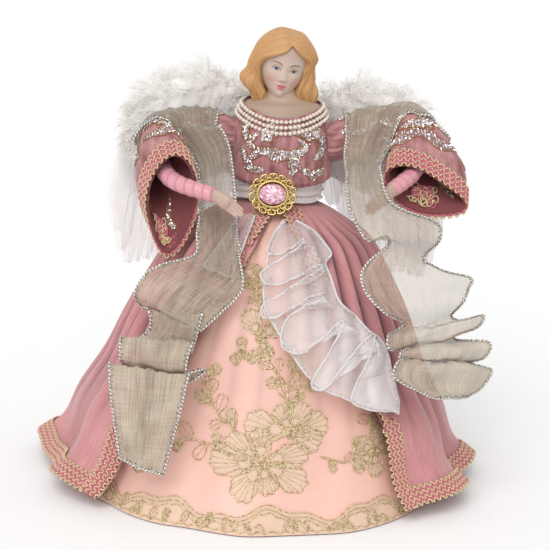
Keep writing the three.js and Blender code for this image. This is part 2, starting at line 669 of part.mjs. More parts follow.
// Short tail of the sash on the figure's right
const tail = Array.from({ length: 9 }, (_, j) => {
  const v = j / 8;
  const z = WAIST_Z - 5 - 32 * v;
  const centre = mix(-6, -24, v);
  const half = mix(5, 9, v);
  return Array.from({ length: 4 }, (_, i) => {
    const x = centre + half * ((i / 3) * 2 - 1);
    return V(x, skirtFront(x, z) - 1.0 - 1.2 * (0.5 - 0.5 * Math.cos(v * 2 * TAU)), z);
  });
});
add('sash_tail', sheet(tail, RIBBON), 0xddd0cc, 0.5);

// Brooch: scalloped gilt setting with an oval stone in its pocket
const broochAt = V(LEAN - 3.5, -(sashRy + FIT + BODICE_T + 6.5), SASH_Z + 7);
const broochRing = (w, rx, rz, scallop) => ellipse(32, (a) => {
  const r = 1 + scallop * Math.cos(8 * a);
  const x = rx * r * Math.cos(a);
  const z = rz * r * Math.sin(a);
  const y = -w;
  return V(
    broochAt.x + x,
    broochAt.y + y * Math.cos(BROOCH_TILT) + z * Math.sin(BROOCH_TILT),
    broochAt.z - y * Math.sin(BROOCH_TILT) + z * Math.cos(BROOCH_TILT),
  );
});
const pocket = 1.2;
add('brooch_setting', surface(solid(loft([
  broochRing(0, BROOCH_RX - 2, BROOCH_RZ - 2, 0.03),
  broochRing(0.8, BROOCH_RX - 0.6, BROOCH_RZ - 0.6, 0.04),
  broochRing(BROOCH_T * 0.6, BROOCH_RX - 0.4, BROOCH_RZ - 0.4, 0.04),
  broochRing(BROOCH_T, GEM_RX + 2, GEM_RZ + 2, 0),
  broochRing(BROOCH_T, GEM_RX + FIT + 0.3, GEM_RZ + FIT + 0.3, 0),
  broochRing(pocket, GEM_RX + FIT, GEM_RZ + FIT, 0),
]))), 0xb89a4e, 0.3, 0.9);
add('brooch_gem', loft([
  broochRing(pocket + FIT, GEM_RX - 1.5, GEM_RZ - 1.5, 0),
  broochRing(BROOCH_T, GEM_RX, GEM_RZ, 0),
  broochRing(BROOCH_T + 1.2, GEM_RX * 0.8, GEM_RZ * 0.77, 0),
  broochRing(BROOCH_T + 1.9, GEM_RX * 0.55, GEM_RZ * 0.5, 0),
]), 0xe3b5c4, 0.1);

// Wings: feathers and down on a felt card, hung at the back of the bodice
const backY = CHEST_RY + FIT + BODICE_T + FIT;
const downY = backY + 5;
const covertY = downY + DOWN_DEPTH + FIT;
const primaryY = covertY + COVERT_T + FIT;
const cardY = primaryY + PRIMARY_T + FIT;
const hingeZ = SHOULDER_Z + 0.5;
const mountFoot = hingeZ - 12;
const mountTop = hingeZ + 10;
const mountHalf = WING_HINGE_OUT - 2;
const mountBack = cardY + WING_CARD_T;
const blockRings = [mountFoot, mountTop].map((z) => [
  V(LEAN - mountHalf, backY - 6, z),
  V(LEAN + mountHalf, backY - 6, z),
  V(LEAN + mountHalf, mountBack, z),
  V(LEAN - mountHalf, mountBack, z),
]);
const bodiceHull = solid(loft([
  ...CHEST.map(([z, rx, ry]) => bustRing(rx + 2 * FIT + BODICE_T, ry + 2 * FIT + BODICE_T, z)),
]));
add('wing_mount', surface(solid(loft(blockRings)).subtract(bodiceHull)), 0xd8d0c4, 0.8);

const WING_CARD_IN = mountHalf + FIT;
const PRIMARIES = [
  [10, 8], [24, 18], [45, 24], [70, 22], [92, 10], [104, -12], [110, -40], [109, -70], [104, -92],
  [98, -79], [91, -95], [85, -80], [77, -88], [72, -73], [63, -77], [59, -62], [48, -62], [44, -48],
  [33, -45], [30, -36], [10, -12],
];
const COVERTS = [
  [11, 6], [26, 15], [46, 20], [68, 18], [86, 6], [96, -14], [99, -40], [93, -34], [88, -52], [81, -42],
  [75, -56], [68, -44], [60, -52], [54, -38], [45, -42], [40, -30], [30, -30], [11, -10],
];
const CARD_OUTLINE = [
  [WING_CARD_IN, 7], [26, 13], [47, 18], [68, 15], [85, 4], [93, -16], [92, -42], [78, -46],
  [56, -40], [34, -30], [WING_CARD_IN, -11],
];
function plate(outline, side, y, thickness) {
  const corners = outline.map(([out, up]) => new THREE.Vector2(out, up));
  if (THREE.ShapeUtils.isClockWise(corners)) {
    corners.reverse();
  }
  const ring = (at) => corners.map((c) => V(LEAN + side * c.x, at, hingeZ + c.y));
  const n = corners.length;
  const faces = [];
  for (const [a, b, c] of THREE.ShapeUtils.triangulateShape(corners, [])) {
    const turn = THREE.ShapeUtils.isClockWise([corners[a], corners[b], corners[c]]);
    const [p, q] = turn ? [c, b] : [b, c];
    faces.push([a, p, q], [n + a, n + q, n + p]);
  }
  for (let i = 0; i < n; i += 1) {
    const k = (i + 1) % n;
    faces.push([k, i, n + i], [k, n + i, n + k]);
  }
  return body([...ring(y), ...ring(y + thickness)], faces);
}
const DOWN_PATH = [[18, 12, 6], [34, 24, 13], [56, 27, 18], [78, 18, 18], [92, -1, 14], [97, -24, 7]];
for (const [name, side] of [['right', -1], ['left', 1]]) {
  add(`wing_card_${name}`, plate(CARD_OUTLINE, side, cardY, WING_CARD_T), 0xe9e4dc, 0.9);
  add(`wing_primaries_${name}`, plate(PRIMARIES, side, primaryY, PRIMARY_T), 0xefe9e4, 0.8);
  add(`wing_coverts_${name}`, plate(COVERTS, side, covertY, COVERT_T), 0xf1ece7, 0.8);
  const spine = new THREE.CatmullRomCurve3(DOWN_PATH.map(([out, up]) => V(out, up, 0)));
  const steps = 12;
  const rings = Array.from({ length: steps + 1 }, (_, k) => {
    const s = k / steps;
    const c = spine.getPoint(s);
    const t = spine.getTangent(s);
    const j = Math.min(Math.floor(s * 5), 4);
    const r = mix(DOWN_PATH[j][2], DOWN_PATH[j + 1][2], s * 5 - j);
    const depth = Math.min(DOWN_DEPTH, r * 0.6);
    return ellipse(12, (a) => V(
      LEAN + side * (c.x - t.y * r * Math.cos(a)),
      covertY - FIT - depth + depth * Math.sin(a),
      hingeZ + c.y + t.x * r * Math.cos(a),
    ));
  });
  add(`wing_down_${name}`, loft(rings), 0xe4ded8, 0.95);
}

export default part;
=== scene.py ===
"""An angel tree topper, dressed in its sewn, cast, beaded and feathered pieces."""

import logging
import math
from collections.abc import Callable
from dataclasses import dataclass
from enum import Enum
from functools import partial

import bpy
import numpy as np
from mathutils import Matrix

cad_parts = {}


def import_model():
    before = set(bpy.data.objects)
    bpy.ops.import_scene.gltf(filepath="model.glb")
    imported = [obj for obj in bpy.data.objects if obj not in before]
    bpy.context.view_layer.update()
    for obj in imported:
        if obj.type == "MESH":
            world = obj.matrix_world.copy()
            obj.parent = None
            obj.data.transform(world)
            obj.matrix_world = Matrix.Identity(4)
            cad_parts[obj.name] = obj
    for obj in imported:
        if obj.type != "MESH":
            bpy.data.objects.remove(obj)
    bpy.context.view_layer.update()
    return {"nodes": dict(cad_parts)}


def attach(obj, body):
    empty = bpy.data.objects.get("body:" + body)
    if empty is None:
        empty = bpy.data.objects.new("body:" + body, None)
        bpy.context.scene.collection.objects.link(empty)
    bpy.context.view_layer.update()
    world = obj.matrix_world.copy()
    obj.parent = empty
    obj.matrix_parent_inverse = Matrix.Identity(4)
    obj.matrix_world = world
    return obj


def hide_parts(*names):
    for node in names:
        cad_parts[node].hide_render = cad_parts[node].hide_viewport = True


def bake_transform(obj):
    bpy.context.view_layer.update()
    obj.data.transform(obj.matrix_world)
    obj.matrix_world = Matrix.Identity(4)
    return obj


LOG = logging.getLogger("angel")
Array = np.ndarray
Amount = Array | float
Rng = np.random.Generator
RGB = tuple[int, int, int]
Flat = tuple[float, float]
Place = tuple[float, float, float]
Piece = bpy.types.Object
Tree = bpy.types.NodeTree
Socket = bpy.types.NodeSocket
Surface = Callable[[Array, Amount], Array]

MM = 0.001
TURN = 2 * math.pi
MAP_MM = 10.0
MAP_NAME = "cloth_map"
PAINT_NAME = "paint"

LEAN = 6.0
WAIST_Z = 188.0
SHOULDER_OUT = 36.0
SHOULDER_Z = WAIST_Z + 39.5
ARM_RISE = 3.5


def mix(a: Amount, b: Amount, t: Amount) -> Amount:
    """Blend from a to b by t."""
    return a + (b - a) * t


def ease(low: float, high: float, value: Amount) -> Array:
    """Rise smoothly from 0 at low to 1 at high."""
    t = np.clip((np.asarray(value, float) - low) / (high - low), 0, 1)
    return t * t * (3 - 2 * t)


def hump(value: Array, centre: float, width: float) -> Array:
    """Give a bell of height 1 round a centre."""
    return np.exp(-(((value - centre) / width) ** 2))


def shares(count: int) -> Array:
    """Give even shares from 0 to 1."""
    return np.linspace(0, 1, count)


def around(count: int) -> Array:
    """Give even angles round a full turn."""
    return np.linspace(0, TURN, count, endpoint=False)


def heading(degrees: float) -> Array:
    """Give the flat direction at an angle."""
    return np.array((math.cos(math.radians(degrees)), math.sin(math.radians(degrees))))


def sideways(way: Array) -> Array:
    """Give the flat directions a quarter turn from others."""
    return np.stack([-way[..., 1], way[..., 0]], -1)


def lean_at(z: Amount) -> Array:
    """Give the sideways lean of the figure at a height."""
    return LEAN * np.clip(np.asarray(z, float) / WAIST_Z, 0, 1)


def smooth(points: Array | tuple, count: int) -> Array:
    """Draw a smooth curve through points.

    Args:
        points: Points or rows of points, along the first axis.
        count: How many samples the curve gets.

    Returns:
        The samples, evenly spread between the points.
    """
    p = np.asarray(points, float)
    p = np.concatenate([2 * p[:1] - p[1:2], p, 2 * p[-1:] - p[-2:-1]])
    last = len(p) - 3
    s = np.linspace(0, last, count)
    i = np.minimum(s.astype(int), last - 1)
    t = (s - i).reshape((-1,) + (1,) * (p.ndim - 1))
    a, b, c, d = (p[i + k] for k in range(4))
    return 0.5 * (2 * b + (c - a) * t + (2 * a - 5 * b + 4 * c - d) * t**2 + (3 * b - a - 3 * c + d) * t**3)


def unit(v: Array) -> Array:
    """Scale vectors to length one."""
    return v / np.maximum(np.linalg.norm(v, axis=-1, keepdims=True), 1e-9)


def run_of(path: Array) -> Array:
    """Measure the length along a path at each of its points."""
    return np.concatenate([[0], np.cumsum(np.linalg.norm(np.diff(path, axis=0), axis=1))])


def even(path: Array, step: float) -> Array:
    """Resample a path.

    Args:
        path: Points, with any further columns that go along.
        step: Distance between the new points.

    Returns:
        Points an even step apart.
    """
    s = run_of(path)
    at = np.linspace(0, s[-1], max(3, int(s[-1] / step) + 1))
    return np.stack([np.interp(at, s, path[:, k]) for k in range(path.shape[1])], 1)


def turned(points: Array, degrees: float, axis: str) -> Array:
    """Turn points about an axis through the origin."""
    return np.asarray(points) @ np.array(Matrix.Rotation(math.radians(degrees), 3, axis)).T


def rings_on(line: Array, radius: Array, side: Array, top: Array, angles: Array, flat: float = 1.0) -> Array:
    """Set a ring of points round every point of a line.

    Args:
        line: Points along the line.
        radius: Radius of each ring, or of each place on it.
        side: Directions to the side, one a point.
        top: Directions to the top, one a point.
        angles: Places round the ring.
        flat: Height of a ring over its width.

    Returns:
        One row of points a ring.
    """
    wide = np.cos(angles)[None, :, None] * side[:, None]
    return line[:, None] + radius * (wide + flat * np.sin(angles)[None, :, None] * top[:, None])


def capped(line: Array, rings: Array) -> Array:
    """Close a tube of rings with a point at either end of its line."""
    sides = rings.shape[1]
    return np.concatenate([line[:1, None].repeat(sides, 1), rings, line[-1:, None].repeat(sides, 1)])


class Maker:
    """Gathers patches in millimetres and makes one mesh of them."""

    def __init__(self) -> None:
        """Start with nothing gathered."""
        self.verts: list[Array] = []
        self.faces: list[Array] = []
        self.maps: list[Array] = []
        self.slots: list[Array] = []
        self.tints: list[Array] = []
        self.count = 0

    def add(self, verts: Array, faces: Array, maps: Array, slot: int = 0, tint: Array | None = None) -> None:
        """Take in one patch.

        Args:
            verts: Points in millimetres.
            faces: Corner numbers, three or four a face.
            maps: Pattern map place of every corner.
            slot: Which material the patch wears.
            tint: Painted colour of every point, if any.
        """
        self.verts.append(verts)
        self.faces.append(np.asarray(faces) + self.count)
        self.maps.append(maps)
        self.slots.append(np.full(len(faces), slot))
        self.tints.append(np.ones((len(verts), 4)) if tint is None else tint)
        self.count += len(verts)

    def grid(
        self, points: Array, wrap: bool = False, slot: int = 0, tint: Array | None = None, flip: bool = False
    ) -> None:
        """Take in a sheet of quads.

        Args:
            points: Rows of points.
            wrap: Whether each row closes on itself.
            slot: Which material the sheet wears.
            tint: Painted colour of every point, if any.
            flip: Whether the faces turn over.
        """
        rows, cols = points.shape[:2]
        wide = cols if wrap else cols - 1
        i, j = (a.ravel() for a in np.meshgrid(np.arange(rows - 1), np.arange(wide), indexing="ij"))
        corners = [(i, j), (i, j + 1), (i + 1, j + 1), (i + 1, j)]
        if flip:
            corners.reverse()
        ring = np.concatenate([points, points[:, :1]], 1)
        u = np.concatenate([[0], np.cumsum(np.linalg.norm(np.diff(ring, axis=1), axis=2).mean(0))]) / MAP_MM
        v = np.concatenate([[0], np.cumsum(np.linalg.norm(np.diff(points, axis=0), axis=2).mean(1))]) / MAP_MM
        faces = np.stack([a * cols + b % cols for a, b in corners], 1)
        maps = np.stack([np.stack([u[b], v[a]], 1) for a, b in corners], 1)
        self.add(points.reshape(-1, 3), faces, maps, slot, None if tint is None else tint.reshape(-1, 4))

    def tube(
        self, path: Array, radius: Amount, sides: int = 6, closed: bool = False, slot: int = 0,
        flat: float = 1.0, up: Array | None = None,
    ) -> None:
        """Take in a cord along a path.

        Args:
            path: Points along the cord.
            radius: Its radius, one value or one a point.
            sides: How many sides it has.
            closed: Whether it joins its own start.
            slot: Which material it wears.
            flat: Height over width of its section.
            up: Direction or directions that its section's height points along.
        """
        path = np.asarray(path, float)
        along = np.roll(path, -1, 0) - np.roll(path, 1, 0) if closed else np.gradient(path, axis=0)
        along = unit(along)
        if up is None:
            up = np.eye(3)[int(np.argmin(np.abs(along).mean(0)))]
        side = unit(np.cross(along, np.broadcast_to(up, path.shape)))
        r = np.broadcast_to(np.asarray(radius, float), len(path))[:, None, None]
        rings = rings_on(path, r, side, np.cross(side, along), around(sides), flat)
        self.grid(np.concatenate([rings, rings[:1]]) if closed else capped(path, rings), True, slot)

    def balls(self, centres: Array, radii: Array, segs: int, rings: int) -> None:
        """Take in many round beads.

        Args:
            centres: Middle of every bead.
            radii: Radius of every bead.
            segs: Faces round a bead.
            rings: Rows of points from pole to pole.
        """
        a = around(segs)
        b = np.linspace(0, math.pi, rings)[:, None]
        shape = np.stack([np.sin(b) * np.cos(a), np.sin(b) * np.sin(a), np.cos(b) * np.ones(segs)], 2)
        for c, r in zip(centres, radii):
            self.grid(c + r * shape, True, flip=True)

    def strips(self, points: Array, slot: int = 0) -> None:
        """Take in many slim strips.

        Args:
            points: Places, by strip, row and edge.
            slot: Which material the strips wear.
        """
        n, rows = points.shape[:2]
        i, j = (a.ravel() for a in np.meshgrid(np.arange(n), np.arange(rows - 1), indexing="ij"))
        base = (i * rows + j) * 2
        faces = np.stack([base, base + 1, base + 3, base + 2], 1)
        low, high = j / (rows - 1), (j + 1) / (rows - 1)
        zero, one = np.zeros(len(i)), np.ones(len(i))
        corners = ((zero, low), (one, low), (one, high), (zero, high))
        self.add(points.reshape(-1, 3), faces, np.stack([np.stack(p, 1) for p in corners], 1), slot)

    def build(self, name: str, finishes: list["Finish"], shade: bool = True) -> Piece:
        """Make the mesh object.

        Args:
            name: Name of the piece.
            finishes: Finish of each material slot.
            shade: Whether its faces are shaded smooth.

        Returns:
            The object, standing in the shared frame.
        """
        mesh = bpy.data.meshes.new(name)
        verts = np.concatenate(self.verts) * MM
        sizes = np.concatenate([np.full(len(f), f.shape[1]) for f in self.faces])
        starts = np.concatenate([[0], np.cumsum(sizes)[:-1]])
        corners = np.concatenate([f.ravel() for f in self.faces])
        maps = np.concatenate([m.reshape(-1, 2) for m in self.maps])
        mesh.vertices.add(len(verts))
        mesh.vertices.foreach_set("co", verts.astype(np.float32).ravel())
        mesh.loops.add(int(sizes.sum()))
        mesh.loops.foreach_set("vertex_index", corners.astype(np.int32))
        mesh.polygons.add(len(sizes))
        mesh.polygons.foreach_set("loop_start", starts.astype(np.int32))
        mesh.polygons.foreach_set("material_index", np.concatenate(self.slots).astype(np.int32))
        mesh.polygons.foreach_set("use_smooth", np.full(len(sizes), shade))
        mesh.uv_layers.new(name=MAP_NAME).uv.foreach_set("vector", maps.astype(np.float32).ravel())
        paint = mesh.color_attributes.new(PAINT_NAME, "FLOAT_COLOR", "POINT")
        paint.data.foreach_set("color", np.concatenate(self.tints).astype(np.float32).ravel())
        mesh.update(calc_edges=True)
        mesh.validate()
        for finish in finishes:
            mesh.materials.append(finish.material())
        obj = bpy.data.objects.new(name, mesh)
        bpy.context.scene.collection.objects.link(obj)
        return obj


class Grain(Enum):
    """How a finish varies over its surface."""

    NAP = "brushed pile with streaks"
    CRUSH = "crushed pile with dark creases"
    WEAVE = "crossing threads"
    SLUB = "loose threads of uneven thickness"
    TWIST = "slanting strands of a cord"
    BARB = "fine hairs off a shaft"
    CLOUD = "soft mottling"
    PAINT = "painted by hand"


@dataclass(frozen=True)
class GrainLayer:
    """One layer of a grain: noise, or bands where they wander, laid over the layers before it."""

    across: float
    along: float
    share: float = 1.0
    detail: float = 2.0
    wander: float | None = None
    turn: float = 0.0


GRAIN_LAYERS = {
    Grain.NAP: (GrainLayer(1.0, 0.12, detail=4.0), GrainLayer(4.0, 4.0, 0.4), GrainLayer(0.07, 0.05, 0.35)),
    Grain.CRUSH: (GrainLayer(0.24, 0.13, detail=3.0), GrainLayer(3.0, 3.0, 0.35)),
    Grain.WEAVE: (
        GrainLayer(1.0, 0.0, wander=0.6), GrainLayer(0.0, 1.0, 0.5, wander=0.6, turn=90.0),
        GrainLayer(0.06, 0.04, 0.4),
    ),
    Grain.SLUB: (GrainLayer(2.0, 0.05), GrainLayer(0.05, 2.4, 0.35), GrainLayer(0.1, 0.06, 0.3)),
    Grain.TWIST: (GrainLayer(1.0, 1.0, wander=0.3, turn=40.0),),
    Grain.BARB: (GrainLayer(1.0, 1.0, wander=0.4, turn=35.0), GrainLayer(0.1, 0.1, 0.5)),
}
CLOUD_DETAIL = 4.0
BAND_SCALE = 0.314
SHEEN_ROUGHNESS = 0.4
COAT_ROUGHNESS = 0.12
SKIN_DEPTH_M = 0.002
RELIEF_M = 0.0006
VEIL_OPEN = 1.12
VEIL_CLOSED = 0.78


def linear(colour: RGB) -> Array:
    """Turn a screen colour into the shader's own scale.

    Args:
        colour: Red, green and blue from 0 to 255.

    Returns:
        The same colour for a shader, with full alpha.
    """
    c = np.asarray(colour, float) / 255
    high = ((c + 0.055) / 1.055) ** 2.4
    return np.append(np.where(c <= 0.04045, c / 12.92, high), 1.0)


def lay_node(tree: Tree, kind: str, feeds: dict, **settings: str) -> bpy.types.Node:
    """Lay one shader node in a tree.

    Args:
        tree: Where it goes.
        kind: Its type, without the common start.
        feeds: By input, a value or another node's output.
        settings: Its own settings.

    Returns:
        The node.
    """
    node = tree.nodes.new(f"ShaderNode{kind}")
    for name, value in settings.items():
        setattr(node, name, value)
    for socket, value in feeds.items():
        if isinstance(value, Socket):
            tree.links.new(value, node.inputs[socket])
        else:
            node.inputs[socket].default_value = value
    return node


@dataclass(frozen=True)
class Finish:
    """One finish: its two tones, its grain and how it takes the light."""

    name: str
    colour: RGB
    second: RGB
    grain: Grain
    pitch: float = 1.0
    roughness: float = 0.6
    metallic: float = 0.0
    sheen: float = 0.0
    bump: float = 0.25
    cover: float = 1.0
    coat: float = 0.0
    skin: float = 0.0
    sharp: float = 0.0
    # Whether the two tones are multiplied by the painted shade and light in the paint colours.
    shaded: bool = False

    def material(self) -> bpy.types.Material:
        """Make the material, or find the one already made.

        Returns:
            The material.
        """
        found = bpy.data.materials.get(self.name)
        if found:
            return found
        made = bpy.data.materials.new(self.name)
        made.use_nodes = True
        self.dress(made.node_tree)
        return made

    def dress(self, tree: Tree) -> None:
        """Lay the finish out in a material's nodes.

        Args:
            tree: The material's nodes.
        """
        shader = tree.nodes["Principled BSDF"]
        for socket, value in (
            ("Roughness", self.roughness), ("Metallic", self.metallic), ("Sheen Weight", self.sheen),
            ("Coat Weight", self.coat), ("Subsurface Weight", self.skin), ("Coat Roughness", COAT_ROUGHNESS),
            ("Sheen Roughness", SHEEN_ROUGHNESS), ("Subsurface Scale", SKIN_DEPTH_M),
        ):
            shader.inputs[socket].default_value = value
        factor = self.pattern(tree)
        if self.sharp:
            span = {"Value": factor, "From Min": 0.5 - self.sharp, "From Max": 0.5 + self.sharp}
            factor = lay_node(tree, "MapRange", span).outputs[0]
        tree.links.new(self.tone(tree, factor), shader.inputs["Base Color"])
        if self.cover < 1:
            tree.links.new(self.veil(tree, factor), shader.inputs["Alpha"])
        relief = lay_node(tree, "Bump", {"Strength": self.bump, "Distance": RELIEF_M, "Height": factor})
        tree.links.new(relief.outputs[0], shader.inputs["Normal"])

    def tone(self, tree: Tree, factor: Socket) -> Socket:
        """Give the colour: painted by hand, or two tones by the grain, multiplied where shaded by the painted
        shade and light in the paint colours.

        Args:
            tree: The material's nodes.
            factor: The grain's value.

        Returns:
            The colour.
        """
        brush = lay_node(tree, "VertexColor", {}, layer_name=PAINT_NAME).outputs["Color"]
        if self.grain is Grain.PAINT:
            return brush
        ends = {0: factor, 6: linear(self.colour), 7: linear(self.second)}
        tone = lay_node(tree, "Mix", ends, data_type="RGBA").outputs[2]
        if not self.shaded:
            return tone
        deep = {0: 1.0, 6: tone, 7: brush}
        return lay_node(tree, "Mix", deep, data_type="RGBA", blend_type="MULTIPLY").outputs[2]

    def veil(self, tree: Tree, factor: Socket) -> Socket:
        """Give how much sheer cloth covers, by its grain and the layers that lie on each other.

        Args:
            tree: The material's nodes.
            factor: The grain's value.

        Returns:
            The cover.
        """
        most, least = VEIL_OPEN - self.cover, max(0.0, VEIL_CLOSED - self.cover)
        gaps = lay_node(tree, "MapRange", {"Value": factor, "To Min": most, "To Max": least}).outputs[0]
        layers = lay_node(tree, "VertexColor", {}, layer_name=PAINT_NAME).outputs["Alpha"]
        bare = lay_node(tree, "Math", {0: gaps, 1: layers}, operation="POWER").outputs[0]
        return lay_node(tree, "Math", {0: 1.0, 1: bare}, operation="SUBTRACT").outputs[0]

    def pattern(self, tree: Tree) -> Socket:
        """Lay out the grain as one value from 0 to 1.

        Args:
            tree: The material's nodes.

        Returns:
            The grain's value.
        """
        if self.grain not in GRAIN_LAYERS:
            spots = lay_node(tree, "TexCoord", {}).outputs["Object"]
            lay = lay_node(tree, "Mapping", {"Vector": spots, "Scale": (1 / (self.pitch * MM),) * 3})
            cloud = {"Vector": lay.outputs[0], "Scale": 1.0, "Detail": CLOUD_DETAIL}
            return lay_node(tree, "TexNoise", cloud).outputs[0]
        first, *others = GRAIN_LAYERS[self.grain]
        value = self.lay_grain(tree, first)
        for layer in others:
            over = {0: layer.share, 2: value, 3: self.lay_grain(tree, layer)}
            value = lay_node(tree, "Mix", over).outputs[0]
        return value

    def lay_grain(self, tree: Tree, layer: GrainLayer) -> Socket:
        """Lay out one layer of the grain, in which one unit is one pitch.

        Args:
            tree: The material's nodes.
            layer: What the layer is like.

        Returns:
            The layer's value.
        """
        source = lay_node(tree, "UVMap", {}, uv_map=MAP_NAME).outputs[0]
        pitches = MAP_MM / self.pitch
        lay = lay_node(tree, "Mapping", {
            "Vector": source, "Scale": (layer.across * pitches, layer.along * pitches, 1),
            "Rotation": (0, 0, math.radians(layer.turn)),
        }).outputs[0]
        if layer.wander is None:
            noise = {"Vector": lay, "Scale": 1.0, "Detail": layer.detail}
            return lay_node(tree, "TexNoise", noise).outputs[0]
        bands = {"Vector": lay, "Scale": BAND_SCALE, "Distortion": layer.wander, "Detail": 1.0}
        return lay_node(tree, "TexWave", bands).outputs[1]


VELVET = Finish(
    "rose_velvet", (166, 102, 106), (222, 162, 162), Grain.NAP, 1.6, 0.8, sheen=0.35, bump=0.45, sharp=0.3,
    shaded=True,
)
CRUSHED = Finish(
    "crushed_velvet", (112, 58, 62), (206, 150, 150), Grain.CRUSH, 1.6, 0.8, sheen=0.3, bump=0.5, sharp=0.17
)
LINING = Finish("burgundy_lining", (104, 46, 50), (140, 74, 76), Grain.NAP, 1.2, 0.8, sheen=0.2)
PEACH_SATIN = Finish(
    "peach_satin", (221, 169, 154), (236, 195, 182), Grain.WEAVE, 0.5, 0.42, sheen=0.15, bump=0.08,
    shaded=True,
)
PINK_SATIN = Finish(
    "pink_satin", (206, 136, 148), (230, 166, 176), Grain.WEAVE, 0.4, 0.28, sheen=0.2, bump=0.05, shaded=True
)
SCARF = Finish(
    "champagne_gauze", (118, 100, 80), (230, 216, 194), Grain.SLUB, 1.4, 0.6, sheen=0.25, bump=0.8, cover=0.5,
    sharp=0.26, shaded=True,
)
ORGANZA = Finish(
    "white_organza", (248, 240, 240), (255, 254, 254), Grain.WEAVE, 0.5, 0.45, sheen=0.3, bump=0.2, cover=0.3
)
SASH_SHEER = Finish(
    "sash_organza", (216, 204, 202), (250, 242, 240), Grain.WEAVE, 0.5, 0.45, sheen=0.3, bump=0.3, cover=0.78
)
SILVER_THREAD = Finish(
    "silver_thread", (142, 134, 126), (240, 235, 228), Grain.TWIST, 1.5, 0.35, 0.3, bump=0.6, sharp=0.25
)
WHITE_THREAD = Finish("white_thread", (222, 214, 214), (255, 252, 252), Grain.TWIST, 0.9, 0.45, bump=0.6)
GOLD_THREAD = Finish("gold_thread", (200, 162, 106), (255, 242, 202), Grain.TWIST, 0.8, 0.36, 0.35, bump=0.6)
ROSE_THREAD = Finish(
    "rose_thread", (166, 50, 80), (238, 140, 160), Grain.TWIST, 0.8, 0.5, sheen=0.2, bump=0.6
)
LACE_GOLD = Finish(
    "lace_gold", (140, 102, 52), (255, 238, 190), Grain.CLOUD, 1.3, 0.36, 0.15, bump=0.4, sharp=0.2
)
LACE_NET = Finish("lace_net", (232, 202, 168), (255, 242, 220), Grain.SLUB, 0.6, 0.6, bump=0.5, cover=0.5)
BROWN_CORD = Finish("brown_cord", (128, 78, 38), (188, 130, 66), Grain.TWIST, 0.6, 0.45, 0.25, bump=0.5)
GLITTER = Finish("silver_glitter", (206, 196, 196), (255, 252, 250), Grain.CLOUD, 0.5, 0.22, 0.85, bump=0.0)
GLITTER_BED = Finish("glitter_bed", (122, 84, 82), (176, 140, 136), Grain.CLOUD, 0.4, 0.6, 0.1, bump=0.8)
GILT = Finish("gilt_metal", (172, 146, 80), (226, 204, 142), Grain.CLOUD, 1.2, 0.24, 1.0, bump=0.12)
GEM = Finish("pink_stone", (236, 150, 182), (250, 202, 220), Grain.PAINT, 3.0, 0.08, 0.2, coat=0.8, bump=0.0)
PEARL = Finish("glass_pearl", (208, 192, 178), (236, 224, 212), Grain.CLOUD, 2.0, 0.25, coat=0.4, bump=0.03)
BISQUE = Finish(
    "painted_bisque", (226, 200, 184), (226, 200, 184), Grain.PAINT, 0.6, 0.5, bump=0.04, skin=0.12
)
SKIN = Finish("bisque_hand", (178, 150, 136), (192, 166, 152), Grain.CLOUD, 1.5, 0.5, bump=0.05, skin=0.12)
FEATHER = Finish(
    "white_feather", (244, 240, 238), (255, 254, 253), Grain.BARB, 1.1, 0.6, sheen=0.2, bump=0.4, cover=0.46
)
DOWN = Finish("white_down", (242, 238, 233), (255, 253, 250), Grain.CLOUD, 6.0, 0.8, sheen=0.2, bump=0.0)
CARD = Finish("grey_card", (176, 160, 140), (204, 190, 170), Grain.CLOUD, 0.8, 0.85, bump=0.3)
FELT = Finish("white_felt", (228, 222, 216), (246, 242, 238), Grain.CLOUD, 0.7, 0.9, sheen=0.2, bump=0.4)
WIRE = Finish("bare_wire", (150, 146, 140), (196, 192, 186), Grain.CLOUD, 0.8, 0.35, 1.0, bump=0.1)
FLOOR = Finish("pale_floor", (254, 254, 254), (255, 255, 255), Grain.CLOUD, 40.0, 0.9, bump=0.0)


